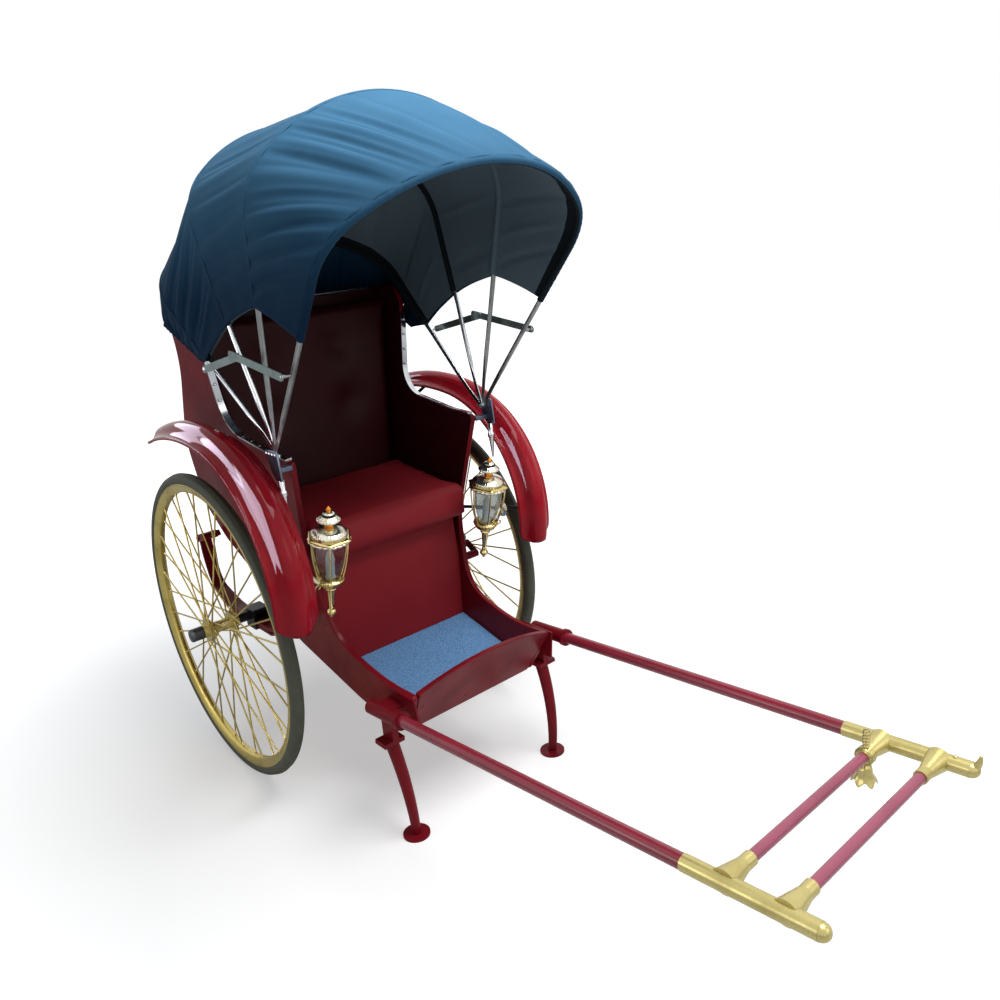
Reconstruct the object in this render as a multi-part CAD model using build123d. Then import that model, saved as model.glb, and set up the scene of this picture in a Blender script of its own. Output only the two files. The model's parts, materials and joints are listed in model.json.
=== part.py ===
from build123d import *
from math import atan2, cos, degrees, hypot, radians, sin, sqrt, tan
import os

# The pulled rickshaw. All sizes in millimetres: -Y towards the puller, +X to the passenger's left, +Z up.
# Everything is laid out from the middle of the axle, and place() moves it into the row frame.

# Wheels, hubs and axle
WHEEL_R = 460.0
TYRE_R = 19.0
TYRE_SEAT = 7.0
RIM_DEPTH = 24.0
RIM_WIDTH = 34.0
RIM_WALL = 5.0
RIM_LIP = 9.0
TRACK_HALF = 412.0
SPOKES_PER_FLANGE = 18
SPOKE_R = 2.4
SPOKE_CROSSING_DEG = 68.0
SPOKE_STAGGER = 7.0
SPOKE_RIM_X = 4.0
HUB_R = 19.0
HUB_WAIST_R = 16.0
HUB_FLANGE_R = 32.0
HUB_FLANGE_T = 4.0
HUB_FLANGE_X = 32.0
HUB_HALF = 52.0
HUB_CAP_R = 18.0
HUB_CAP_L = 30.0
HUB_CAP_WALL = 2.5
AXLE_R = 14.0
AXLE_STEP = 2.0
AXLE_NUT_R = 14.0
AXLE_NUT_L = 10.0
RUNNING_GAP = 0.05
SEAT_GAP = 0.2

# Springs, each a pack of leaves under the axle that rises to the tub's rear corner
SPRING_W = 38.0
SPRING_TO_HUB = 45.0
SPRING_X = TRACK_HALF - HUB_HALF - SPRING_TO_HUB - SPRING_W / 2.0
LEAF_T = 7.0
SPRING_EYE_R = 12.0
SPRING_PIN_R = 6.0
HANGER_T = 4.0
CLAMP_L = 56.0
CLAMP_WALL = 6.0

# Upper face of each leaf, seen from the side: (y, z, corner radius), longest leaf first
LEAF_PATHS = [
    [(-298.0, 66.0, 0.0), (-120.0, -AXLE_R, 260.0), (140.0, -AXLE_R, 300.0), (272.0, 24.0, 70.0),
     (300.0, 120.0, 120.0), (303.0, 168.0, 0.0)],
    [(-222.0, 32.8 - LEAF_T, 0.0), (-120.0, -AXLE_R - LEAF_T, 253.0), (140.0, -AXLE_R - LEAF_T, 300.0),
     (226.0, 4.0 - LEAF_T, 0.0)],
    [(-150.0, -1.0 - 2.0 * LEAF_T, 0.0), (-118.0, -AXLE_R - 2.0 * LEAF_T, 40.0),
     (150.0, -AXLE_R - 2.0 * LEAF_T, 0.0)],
]

# Tub: two flared side boards with thinner boards between them
TUB_TO_SPRING = 55.0
TUB_LOW_HALF = SPRING_X - SPRING_W / 2.0 - TUB_TO_SPRING
TUB_LOW_Z = -160.0
TUB_FLARE = 0.118
SIDE_T = 16.0
BOARD_T = 14.0

# Corners of a side board seen from the side: (y, z, corner radius), from the dash's foot round the top
DASH_FOOT = (-640.0, -178.0)
DASH_HEAD = (-715.0, -48.0)
ARM_FRONT = (-392.0, 525.0)
WING_TOP_Z = 892.0
SIDE_FRONT = [
    (DASH_FOOT[0], DASH_FOOT[1], 10.0),
    (DASH_HEAD[0], DASH_HEAD[1], 8.0),
    (-560.0, -52.0, 500.0),
    (-368.0, 2.0, 130.0),
    (-318.0, 220.0, 250.0),
]
SIDE_ARM = [
    (ARM_FRONT[0], ARM_FRONT[1], 14.0),
    (-285.0, 532.0, 200.0),
    (-45.0, 570.0, 100.0),
    (-35.0, WING_TOP_Z, 80.0),
]
SIDE_BACK = [
    (130.0, WING_TOP_Z + 4.0, 30.0),
    (138.0, 755.0, 300.0),
    (300.0, 500.0, 220.0),
    (305.0, 280.0, 90.0),
    (215.0, 180.0, 80.0),
    (0.0, 45.0, 160.0),
    (-110.0, -77.0, 120.0),
    (-440.0, -170.0, 300.0),
]
SIDE_OUTLINE = SIDE_FRONT + SIDE_ARM + SIDE_BACK

# Floor and back: one line of boards, lower and outer face, from the dash to the top of the back
FLOOR_LINE = [(-632.0, -168.0, 0.0), (-345.0, -103.0, 200.0), (-120.0, -52.0, 0.0)]
BACK_LINE = [(-120.0, -52.0, 0.0), (-6.0, 56.0, 120.0), (204.0, 190.0, 80.0), (290.0, 284.0, 80.0),
             (286.0, 495.0, 220.0), (124.0, 752.0, 300.0), (118.0, WING_TOP_Z - 6.0, 0.0)]
DASH_T = 16.0
DASH_ARCH = 50.0

# Seat and trim
SEAT_FRONT_FOOT_Y = -345.0
SEAT_FRONT_HEAD_Y = -313.0
SEAT_BOARD_Z = 232.0
SEAT_SLOPE_DEG = 8.0
SEAT_CUSHION_T = 66.0
SEAT_CUSHION_FRONT_Y = -372.0
SEAT_CUSHION_LIP = 24.0
SEAT_CUSHION_BACK_Y = 0.0
BACK_CUSHION_T = 58.0
BACK_CUSHION_LEAN_DEG = 4.0
BACK_CUSHION_TOP_Z = 868.0
CUSHION_GAP = 0.3
CARPET_T = 5.0
CARPET_SIDE_GAP = 1.0
TRIM_T = 5.0
TRIM_OVERHANG = 2.0
TRIM_FRONT_GAP = 20.0

# Frame under the floor
RAIL_X = TUB_LOW_HALF - 52.0
RAIL_W = 24.0
RAIL_H = 12.0
RAIL_FROM_Y = -590.0
RAIL_TO_Y = -150.0
MEMBER_W = 34.0
MEMBERS_Y = [-540.0, -215.0]

# Fenders: an ogee strip on two arcs, one round the front of the wheel and a flatter one over its top
FENDER_OVER_TYRE = 118.0
FENDER_BEFORE_TYRE = 40.0
FENDER_FRONT_R = 360.0
FENDER_TOP_R = 740.0
FENDER_JOIN_DEG = 100.0
FENDER_FRONT_DEG = 192.0
FENDER_TAIL_DEG = 72.0
FENDER_RISE = 35.0
FENDER_INSIDE = 67.0
FENDER_OUTSIDE = 47.0
FENDER_INNER_X = TRACK_HALF - FENDER_INSIDE
FENDER_OUTER_X = TRACK_HALF + FENDER_OUTSIDE
FENDER_MID_X = (FENDER_INNER_X + FENDER_OUTER_X) / 2.0
FENDER_T = 3.0
FENDER_TOE_R = 30.0
STAY_BAR_R = 5.0
STAY_END_IN = 12.0

# Bars that carry a fender: direction from its arc's centre, and place on the tub's side
FENDER_STAYS = [
    {"deg": 176.0, "tub_y": -318.0, "tub_z": 240.0},
    {"deg": 92.0, "tub_y": -4.0, "tub_z": 500.0},
]

# Lamps, hung from the fender's front stay
LAMP_LEAN_DEG = 12.5
LAMP_STEM_H = 122.0
LAMP_GLASS_H = 118.0
LAMP_ROOF_H = 90.0
LAMP_H = LAMP_STEM_H + LAMP_GLASS_H + LAMP_ROOF_H
LAMP_TO_FENDER = 81.0
LAMP_BEHIND_STAY = 46.0
LAMP_OVER_STAY = 180.0
LAMP_ROOF_R = 59.0
LAMP_GLASS_LOW_R = 31.0
LAMP_GLASS_HIGH_R = 52.0
LAMP_GLASS_BULGE = 6.0
LAMP_GLASS_T = 2.5
LAMP_POST_R = 2.6
LAMP_ROSE_R = 27.0
LAMP_ROSE_BELOW_GLASS = 4.0

# Shafts, sockets, crossbars and legs
SHAFT_R = 15.0
SHAFT_OUT = 64.0
SHAFT_ROOT = (TUB_LOW_HALF + SHAFT_OUT, -600.0, -90.0)
SHAFT_TIP = (TUB_LOW_HALF + SHAFT_OUT - 18.0, -1812.0, 2.0)
SHAFT_BALL_R = 15.5
SHAFT_GOLD = 252.0
SHAFT_GOLD_WALL = 1.2
SOCKET_R = 20.0
SOCKET_L = 128.0
SOCKET_RING_R = 24.0
SOCKET_RING_L = 10.0
SOCKET_PLATE_T = 5.0
SOCKET_PLATE_H = 74.0
CROSSBAR_R = 11.0
CROSSBARS_BEHIND_TIP = [60.0, 172.0]
FITTING_L = 64.0
FITTING_CUP = 22.0
FITTING_R = 14.0
FITTING_FLARE_R = 25.0
LEG_TOP_R = 18.0
LEG_FOOT_R = 12.0
LEG_TOP_Y = -628.0
LEG_MID = (-664.0, -310.0)
LEG_FOOT_Y = -668.0
LEG_IN = 16.0
LEG_SPLAY = 16.0
LEG_PLATE = (60.0, 46.0, 6.0)
FOOT_R = 36.0
FOOT_T = 6.0
BELL_R = 22.0
BELL_H = 44.0
BELL_HANDLE_H = 42.0

# Hood: four bows that turn on one axis above the arm rests
HOOD_AXIS = (-385.0, 548.0)
HOOD_ABOVE_ARM = 23.0
BOW_R = 6.5
BOW_TOP = 822.0
BOW_SHOULDER_DROP = 262.0
BOW_WIDE_AT = BOW_TOP - BOW_SHOULDER_DROP
BOW_CORNER_R = 180.0
BOW_SPREAD = 30.0
BOW_TUBE_FROM = 130.0
BOW_FLAT_TO = 104.0
LUG_W = 18.0
LUG_NECK_W = 12.6
LUG_T = 3.2
LUG_GAP = 0.6
LUG_SIDE_GAP = 21.0
LUG_FIRST_X = TUB_LOW_HALF + TUB_FLARE * (HOOD_AXIS[1] - TUB_LOW_Z) + LUG_SIDE_GAP
HOOD_PIN_R = 5.0
BRACKET_T = 5.0
BRACKET_HEAD = 62.0
BRACKET_NECK = 30.0
BRACKET_H = 74.0
DROP_L = 86.0
DROP_R = 7.0
DROP_BALL_R = 9.5
DROP_BALL_AT = 25.0
BOW_FOOT_HALF = LUG_FIRST_X + BOW_R
BOW_WIDE_HALF = BOW_FOOT_HALF + BOW_SPREAD
CLOTH_T = 2.0
CLOTH_GAP = 0.4
BOWS = [
    {"name": "bow_rear", "deg": 139.0, "place": 0, "hem": 345.0},
    {"name": "bow_second", "deg": 107.0, "place": 1, "hem": 335.0},
    {"name": "bow_third", "deg": 78.0, "place": 2, "hem": 375.0},
    {"name": "bow_front", "deg": 49.5, "place": 3, "hem": 400.0},
]
CURTAIN_HEM_Y = -62.0
CURTAIN_HEM_Z = 764.0
CURTAIN_HEM_DEG = 25.0
CURTAIN_OVER_SIDE = 5.0
CURTAIN_CORNER_R = 26.0
CURTAIN_BACK_Y = 158.0

# Folding stays outside the cloth
STAY_W = 19.0
STAY_T = 3.0
STAY_LAYER_GAP = 0.8
STAY_OVER_CLOTH = 1.6
STAY_ON_REAR = 318.0
STAY_ON_FRONT = 288.0
STAY_SPARE = 3.4
STAY_PIN_R = 4.0
STAY_TAIL = 30.0

# Row frame: ground under the wheels, middle of the overall length
FRONT_REACH = SHAFT_TIP[1] - SHAFT_BALL_R
AXLE_Y = -(FRONT_REACH + WHEEL_R) / 2.0


def place(shape):
    """Moves a shape laid out from the axle into the row frame."""
    return Pos(0, AXLE_Y, WHEEL_R) * shape


def save(name, *shapes):
    """Writes one node, its solids side by side."""
    solids = []
    for shape in shapes:
        solids.extend(place(shape).solids())
    node = Compound(children=solids) if len(solids) > 1 else solids[0]
    export_step(node, os.path.join("parts", name + ".step"))


def tub_half(z):
    """Outer half width of the tub at height z."""
    return TUB_LOW_HALF + TUB_FLARE * (z - TUB_LOW_Z)


def strut(a, b, r, end_r=None):
    """Round bar or taper from a to b."""
    d = Vector(*b) - Vector(*a)
    plane = Plane(origin=a, z_dir=d)
    if end_r is None:
        return plane * extrude(Circle(r), amount=d.length)
    return plane * Pos(0, 0, d.length / 2.0) * Cone(r, end_r, d.length)


def outline(corners):
    """Closed wire of lines and tangent arcs round corners given as (a, b, radius)."""
    count = len(corners)
    starts, ends, mids = [], [], []
    for i in range(count):
        bx, by, r = corners[i]
        ux, uy = corners[i - 1][0] - bx, corners[i - 1][1] - by
        vx, vy = corners[(i + 1) % count][0] - bx, corners[(i + 1) % count][1] - by
        lu, lv = hypot(ux, uy), hypot(vx, vy)
        ux, uy, vx, vy = ux / lu, uy / lu, vx / lv, vy / lv
        half = atan2(abs(ux * vy - uy * vx), ux * vx + uy * vy) / 2.0
        reach = r / tan(half)
        wx, wy = ux + vx, uy + vy
        depth = (r / sin(half) - r) / max(hypot(wx, wy), 1e-9)
        starts.append((bx + ux * reach, by + uy * reach))
        ends.append((bx + vx * reach, by + vy * reach))
        mids.append((bx + wx * depth, by + wy * depth))
    edges = []
    for i in range(count):
        edges.append(Line(ends[i - 1], starts[i]))
        if corners[i][2] > 0.0:
            edges.append(ThreePointArc(starts[i], mids[i], ends[i]))
    return Wire(edges)


def strip(path, thickness):
    """Corners of a bent strip: the path and its copy moved to the left by the thickness."""
    count = len(path)
    back = []
    for i in range(count):
        x, y, r = path[i]
        into = path[max(i, 1)][0] - path[max(i, 1) - 1][0], path[max(i, 1)][1] - path[max(i, 1) - 1][1]
        j = min(i, count - 2)
        out = path[j + 1][0] - path[j][0], path[j + 1][1] - path[j][1]
        a, b = atan2(into[1], into[0]), atan2(out[1], out[0])
        turn = atan2(sin(b - a), cos(b - a))
        mid = a + turn / 2.0
        far = thickness / cos(turn / 2.0)
        side = 1.0 if turn > 0.0 else -1.0
        new_r = max(r - side * thickness, 0.0) if r > 0.0 else 0.0
        back.append((x - sin(mid) * far, y + cos(mid) * far, new_r))
    return list(path) + back[::-1]


def across(face, half):
    """Face drawn as (y, z), pulled out to both sides of the middle plane."""
    return extrude(Plane.YZ * face, amount=half, both=True)


def beyond(plane, gap=0.0):
    """Everything behind a plane and up to gap in front of it."""
    reach = 4.0 * BOW_TOP
    return plane * Pos(0, 0, gap - reach / 2.0) * Box(2.0 * reach, 2.0 * reach, reach)


def side_plane(s):
    """Plane of one side board's outer face, u backwards and v up the board."""
    return Plane(origin=(s * TUB_LOW_HALF, 0, TUB_LOW_Z), x_dir=(0, 1, 0), z_dir=(s, 0, -TUB_FLARE))


def tub_core(gap=0.0):
    """Everything between the inner faces of the side boards, less a gap."""
    low, high = TUB_LOW_Z - BOW_TOP, WING_TOP_Z + BOW_TOP
    inset = SIDE_T * sqrt(1.0 + TUB_FLARE ** 2) + gap
    lo, hi = tub_half(low) - inset, tub_half(high) - inset
    face = make_face(Polyline((-lo, low), (lo, low), (hi, high), (-hi, high), close=True))
    return extrude(Plane.XZ * face, amount=2.0 * BOW_TOP, both=True)


def on_board(corners):
    """Corners seen from the side, stretched on to the leaning board."""
    stretch = sqrt(1.0 + TUB_FLARE ** 2)
    return [(y, (z - TUB_LOW_Z) * stretch, r) for y, z, r in corners]


def side_panels():
    face = make_face(outline(on_board(SIDE_OUTLINE)))
    left = extrude(side_plane(1) * face, amount=-SIDE_T)
    return [left, mirror(left, Plane.YZ)]


def toward(a, b, reach):
    """Sharp corner on the line from a to b, at a distance from a."""
    t = reach / hypot(b[0] - a[0], b[1] - a[1])
    return (a[0] + t * (b[0] - a[0]), a[1] + t * (b[1] - a[1]), 0.0)


def edge_trims():
    """Bright strip that caps a side board's upper edge from the arm's front to the wing's top."""
    path = list(SIDE_ARM)
    path[0] = toward(path[0], path[1], TRIM_FRONT_GAP)
    path[-1] = toward(path[-1], path[-2], path[-1][2])
    face = make_face(outline(on_board(strip(path, TRIM_T))))
    left = extrude(side_plane(1) * Pos(0, 0, TRIM_OVERHANG / 2.0) * face, amount=-(SIDE_T + TRIM_OVERHANG))
    return [left, mirror(left, Plane.YZ)]


def floor_top(y):
    """Height of the floor's upper face at y, on its front stretch."""
    (ya, za, _), (yb, zb, _) = FLOOR_LINE[0], FLOOR_LINE[1]
    slope = (zb - za) / (yb - ya)
    return za + slope * (y - ya) + BOARD_T * sqrt(1.0 + slope ** 2)


def boards():
    """Floor, back, dash, seat front and seat board, all cut to the flared room between the sides."""
    core = tub_core()
    lean = atan2(DASH_FOOT[0] - DASH_HEAD[0], DASH_HEAD[1] - DASH_FOOT[1])
    up_dash = (0, cos(lean), sin(lean))
    dash_plane = Plane(origin=(0, DASH_FOOT[0], DASH_FOOT[1]), x_dir=(1, 0, 0), z_dir=up_dash)
    front = beyond(dash_plane, DASH_T)
    floor = (across(make_face(outline(strip(FLOOR_LINE, BOARD_T))), tub_half(0.0)) & core) - front
    back = (across(make_face(outline(strip(BACK_LINE, BOARD_T))), tub_half(WING_TOP_Z)) & core) - floor
    half = tub_half(DASH_HEAD[1])
    arch_r = (half ** 2 + DASH_ARCH ** 2) / (2.0 * DASH_ARCH)
    arch = Rot(90, 0, 0) * Cylinder(arch_r, 2.0 * half)
    arch = Pos(0, DASH_HEAD[0], DASH_HEAD[1] + DASH_ARCH - arch_r) * arch
    foot = (DASH_FOOT[1] - DASH_HEAD[1]) * 1.6
    dash = dash_plane * Pos(0, 0, DASH_T / 2.0) * Box(2.0 * half, -2.0 * foot, DASH_T)
    dash = (dash & core & arch) - beyond(Plane(origin=(0, 0, DASH_FOOT[1]), z_dir=(0, 0, 1)))
    ys, zs = SEAT_FRONT_FOOT_Y, floor_top(SEAT_FRONT_FOOT_Y)
    yt, zt = SEAT_FRONT_HEAD_Y, SEAT_BOARD_Z
    panel = make_face(Polyline((ys, zs), (ys + BOARD_T, floor_top(ys + BOARD_T)), (yt + BOARD_T, zt),
                               (yt, zt), close=True))
    seat_front = (across(panel, half) & core) - floor
    reach = BACK_LINE[3][0] - BOARD_T - SEAT_FRONT_HEAD_Y - 10.0
    rise = (reach - BOARD_T) * tan(radians(SEAT_SLOPE_DEG))
    seat = make_face(Polyline((yt, zt), (yt + BOARD_T, zt), (yt + reach, zt + rise),
                              (yt + reach, zt + rise + BOARD_T), (yt + BOARD_T, zt + BOARD_T),
                              (yt, zt + BOARD_T), close=True))
    seat_board = across(seat, tub_half(SEAT_BOARD_Z)) & core
    y0, y1 = SEAT_FRONT_FOOT_Y - CARPET_SIDE_GAP, FLOOR_LINE[0][0] - 60.0
    carpet = make_face(Polyline((y0, floor_top(y0)), (y1, floor_top(y1)), (y1, floor_top(y1) + CARPET_T),
                                (y0, floor_top(y0) + CARPET_T), close=True))
    carpet = across(carpet, half) & tub_core(CARPET_SIDE_GAP)
    carpet = carpet - beyond(dash_plane, DASH_T + CARPET_SIDE_GAP)
    return floor, back, dash, seat_front, seat_board, carpet


def seat_top(y, above=0.0):
    """Height above the sloping seat board at y."""
    start = SEAT_FRONT_HEAD_Y + BOARD_T
    return SEAT_BOARD_Z + BOARD_T + max(y - start, 0.0) * tan(radians(SEAT_SLOPE_DEG)) + above


def cushions():
    front, back = SEAT_CUSHION_FRONT_Y, SEAT_CUSHION_BACK_Y
    start = SEAT_FRONT_HEAD_Y + BOARD_T
    low = SEAT_BOARD_Z + BOARD_T - SEAT_CUSHION_LIP
    lip = SEAT_FRONT_HEAD_Y - CUSHION_GAP - 3.0
    seat = make_face(outline([
        (front, low, 12.0), (lip, low, 3.0),
        (lip, seat_top(start, CUSHION_GAP), 1.0), (start, seat_top(start, CUSHION_GAP), 20.0),
        (back, seat_top(back, CUSHION_GAP), 6.0), (back, seat_top(back, SEAT_CUSHION_T), 16.0),
        (front + 4.0, seat_top(front, SEAT_CUSHION_T + 4.0), 30.0),
    ]))
    seat = across(seat, tub_half(WING_TOP_Z)) & tub_core(CUSHION_GAP + 1.0)
    foot_y = back + CUSHION_GAP
    foot_z = seat_top(foot_y, CUSHION_GAP + 1.0)
    lean = tan(radians(BACK_CUSHION_LEAN_DEG))
    top_y = foot_y + (BACK_CUSHION_TOP_Z - foot_z) * lean
    rest = make_face(outline([
        (foot_y, foot_z, 4.0),
        (foot_y + BACK_CUSHION_T, foot_z + BACK_CUSHION_T * tan(radians(SEAT_SLOPE_DEG)), 4.0),
        (top_y + BACK_CUSHION_T, BACK_CUSHION_TOP_Z, 8.0), (top_y, BACK_CUSHION_TOP_Z, 24.0),
    ]))
    rest = across(rest, tub_half(WING_TOP_Z)) & tub_core(CUSHION_GAP + 1.0)
    return seat, rest


def floor_line_z(y):
    """Height of the floor's lower face at y."""
    for (ya, za, _), (yb, zb, _) in zip(FLOOR_LINE[:-1], FLOOR_LINE[1:]):
        if y <= yb:
            return za + (zb - za) * (y - ya) / (yb - ya)
    return FLOOR_LINE[-1][1]


def chassis():
    """Rails under the floor and the members that cross below them."""
    knee = FLOOR_LINE[1][0]
    top = [(y, floor_line_z(y)) for y in (RAIL_FROM_Y, knee, RAIL_TO_Y)]
    face = make_face(Polyline(*top, *[(y, z - RAIL_H) for y, z in top[::-1]], close=True))
    rails = [Pos(s * RAIL_X, 0, 0) * across(face, RAIL_W / 2.0) for s in (-1, 1)]
    members = []
    for y in MEMBERS_Y:
        a, b = y - MEMBER_W / 2.0, y + MEMBER_W / 2.0
        za, zb = floor_line_z(a) - RAIL_H, floor_line_z(b) - RAIL_H
        face = make_face(Polyline((a, za), (b, zb), (b, zb - RAIL_H), (a, za - RAIL_H), close=True))
        members.append(across(face, TUB_LOW_HALF) & tub_core(SEAT_GAP))
    return rails, members


def leaf_springs():
    """Leaf packs, the main leaf with an eye at its front end and a scroll at its rear."""
    leaves = []
    for path in LEAF_PATHS:
        leaves.append(across(make_face(outline(strip(path[::-1], LEAF_T))), SPRING_W / 2.0))
    pack = leaves[0] + leaves[1] + leaves[2]
    for eye in spring_eyes():
        tube = Pos(0, *eye) * Rot(0, 90, 0) * Cylinder(SPRING_EYE_R, SPRING_W)
        hole = Pos(0, *eye) * Rot(0, 90, 0) * Cylinder(SPRING_PIN_R + RUNNING_GAP, 2.0 * SPRING_W)
        pack = (pack + tube) - hole
    return [Pos(s * SPRING_X, 0, 0) * pack for s in (-1, 1)]


def spring_eyes():
    """Centres of the eyes at both ends of the main leaf, as (y, z)."""
    (ya, za, _), (yb, zb, _) = LEAF_PATHS[0][0], LEAF_PATHS[0][-1]
    drop = SPRING_EYE_R - LEAF_T
    return [(ya - 8.0, za + drop / 2.0), (yb + LEAF_T / 2.0, zb + 8.0)]


def spring_hangers():
    """Plates on each side of every spring eye, with a foot on the side board and a pin."""
    out = []
    for y, z in spring_eyes():
        foot_y = y + (38.0 if y < 0.0 else -44.0)
        foot_z = z + (24.0 if y < 0.0 else 14.0)
        reach = hypot(foot_y - y, foot_z - z)
        turn = degrees(atan2(foot_z - z, foot_y - y))
        link = Rot(0, 0, turn) * SlotCenterToCenter(reach, 2.0 * SPRING_EYE_R)
        link = Pos((y + foot_y) / 2.0, (z + foot_z) / 2.0) * link
        body = None
        for end in (-1, 1):
            x = SPRING_X + end * (SPRING_W / 2.0 + SEAT_GAP + HANGER_T / 2.0)
            plate = Pos(x, 0, 0) * across(link, HANGER_T / 2.0)
            body = plate if body is None else body + plate
        far = SPRING_X + SPRING_W / 2.0 + HANGER_T
        pin = strut((SPRING_X - SPRING_W / 2.0 - HANGER_T, y, z), (far + 4.0, y, z), SPRING_PIN_R)
        foot = strut((tub_half(foot_z) - SIDE_T, foot_y, foot_z), (far, foot_y, foot_z), SPRING_EYE_R - 2.0)
        body = (body + pin + foot) - beyond(side_plane(1), SEAT_GAP)
        out.extend([body, mirror(body, Plane.YZ)])
    return out


def spring_clamps():
    """Saddles that hold the leaf packs under the axle."""
    low = -AXLE_R - 3.0 * LEAF_T - CLAMP_WALL
    high = AXLE_R + CLAMP_WALL
    block = Pos(0, 0, (low + high) / 2.0) * Box(SPRING_W + 2.0 * CLAMP_WALL, CLAMP_L, high - low)
    pack = Box(SPRING_W + 2.0 * SEAT_GAP, 2.0 * CLAMP_L, 3.0 * LEAF_T + SEAT_GAP)
    pack = Pos(0, 0, -AXLE_R - 1.5 * LEAF_T) * pack
    bore = Rot(0, 90, 0) * Cylinder(AXLE_R + SEAT_GAP, 4.0 * SPRING_W)
    window = Pos(0, 0, 0) * Box(SPRING_W - 2.0, 2.0 * CLAMP_L, 2.0 * AXLE_R - 4.0)
    block = block - pack - bore - window
    return [Pos(s * SPRING_X, 0, 0) * block for s in (-1, 1)]


def axle():
    inner = TRACK_HALF - HUB_HALF - 1.0
    outer = TRACK_HALF + HUB_HALF + 1.0
    bar = Rot(0, 90, 0) * Cylinder(AXLE_R, 2.0 * inner)
    bar = bar + Rot(0, 90, 0) * Cylinder(AXLE_R - AXLE_STEP, 2.0 * (outer + AXLE_NUT_L))
    for s in (-1, 1):
        nut = Pos(s * (outer + AXLE_NUT_L / 2.0), 0, 0) * Rot(0, 90, 0)
        bar = bar + nut * extrude(RegularPolygon(AXLE_NUT_R, 6), amount=AXLE_NUT_L / 2.0, both=True)
    return bar


def on_shaft(s, y):
    """Point on a shaft's centre line at y."""
    t = (y - SHAFT_ROOT[1]) / (SHAFT_TIP[1] - SHAFT_ROOT[1])
    return (s * (SHAFT_ROOT[0] + t * (SHAFT_TIP[0] - SHAFT_ROOT[0])), y,
            SHAFT_ROOT[2] + t * (SHAFT_TIP[2] - SHAFT_ROOT[2]))


def shafts():
    """Red tubes, gold ends with a ball, and the sockets that hold the tubes to the tub's sides."""
    gold_y = SHAFT_TIP[1] + SHAFT_GOLD
    root_y = SHAFT_ROOT[1]
    tube = strut(on_shaft(1, root_y), on_shaft(1, gold_y), SHAFT_R)
    end = strut(on_shaft(1, gold_y - SEAT_GAP), on_shaft(1, SHAFT_TIP[1]), SHAFT_R + SHAFT_GOLD_WALL)
    end = end + Pos(*SHAFT_TIP) * Sphere(SHAFT_BALL_R)
    mouth = root_y - SOCKET_L
    socket = strut(on_shaft(1, root_y + 8.0), on_shaft(1, mouth), SOCKET_R)
    socket = socket + strut(on_shaft(1, mouth + SOCKET_RING_L), on_shaft(1, mouth), SOCKET_RING_R)
    x, _, z = on_shaft(1, (root_y + mouth) / 2.0)
    span = SOCKET_L - SOCKET_RING_L
    floor_z = leg_plate_z() + LEG_PLATE[2] / 2.0
    web = Box(x - tub_half(z) + SIDE_T, 60.0, 10.0)
    web = Pos(x / 2.0 + tub_half(z) / 2.0 - SIDE_T / 2.0, LEG_TOP_Y - 4.0, z) * web
    plate = side_plane(1) * Pos(root_y - span / 2.0, z - TUB_LOW_Z, SOCKET_PLATE_T / 2.0)
    plate = plate * Box(span, SOCKET_PLATE_H, SOCKET_PLATE_T)
    shelf_h = z - SOCKET_R * 0.5 - floor_z
    shelf = Box(18.0, LEG_PLATE[1], shelf_h)
    shelf = Pos(x - LEG_IN - 4.0, LEG_TOP_Y - 4.0, floor_z + shelf_h / 2.0) * shelf
    pad = Pos(x - LEG_IN, LEG_TOP_Y - 4.0, floor_z + 3.0) * Box(LEG_PLATE[0], LEG_PLATE[1], 6.0)
    socket = (socket + web + plate + shelf + pad) - beyond(side_plane(1), SEAT_GAP)
    socket = socket - strut(on_shaft(1, root_y + SEAT_GAP), on_shaft(1, mouth - 30.0), SHAFT_R + SEAT_GAP)
    return [[part, mirror(part, Plane.YZ)] for part in (tube, end, socket)]


def leg_plate_z():
    """Middle height of the plate on top of a leg, just under the tub's lower edge."""
    return DASH_FOOT[1] - LEG_PLATE[2] / 2.0 - 2.0


def crossbars():
    bars, fittings = [], []
    for behind in CROSSBARS_BEHIND_TIP:
        y = SHAFT_TIP[1] + behind
        x, _, z = on_shaft(1, y)
        neck = x - SHAFT_R - FITTING_L
        sleeve = strut((neck, y, z), (neck + FITTING_CUP, y, z), FITTING_R)
        sleeve = sleeve + strut((neck + FITTING_CUP, y, z), (x, y, z), FITTING_R, FITTING_FLARE_R)
        sleeve = sleeve - strut((neck - 1.0, y, z), (neck + FITTING_CUP, y, z), CROSSBAR_R + SEAT_GAP)
        tube_r = SHAFT_R + SHAFT_GOLD_WALL + SEAT_GAP
        sleeve = sleeve - strut(on_shaft(1, y - FITTING_L), on_shaft(1, y + FITTING_L), tube_r)
        sleeve = sleeve.solids().sort_by(SortBy.VOLUME)[-1]
        fittings.extend([sleeve, mirror(sleeve, Plane.YZ)])
        reach = neck + FITTING_CUP - SEAT_GAP
        bars.append(strut((-reach, y, z), (reach, y, z), CROSSBAR_R))
    return bars, fittings


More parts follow.
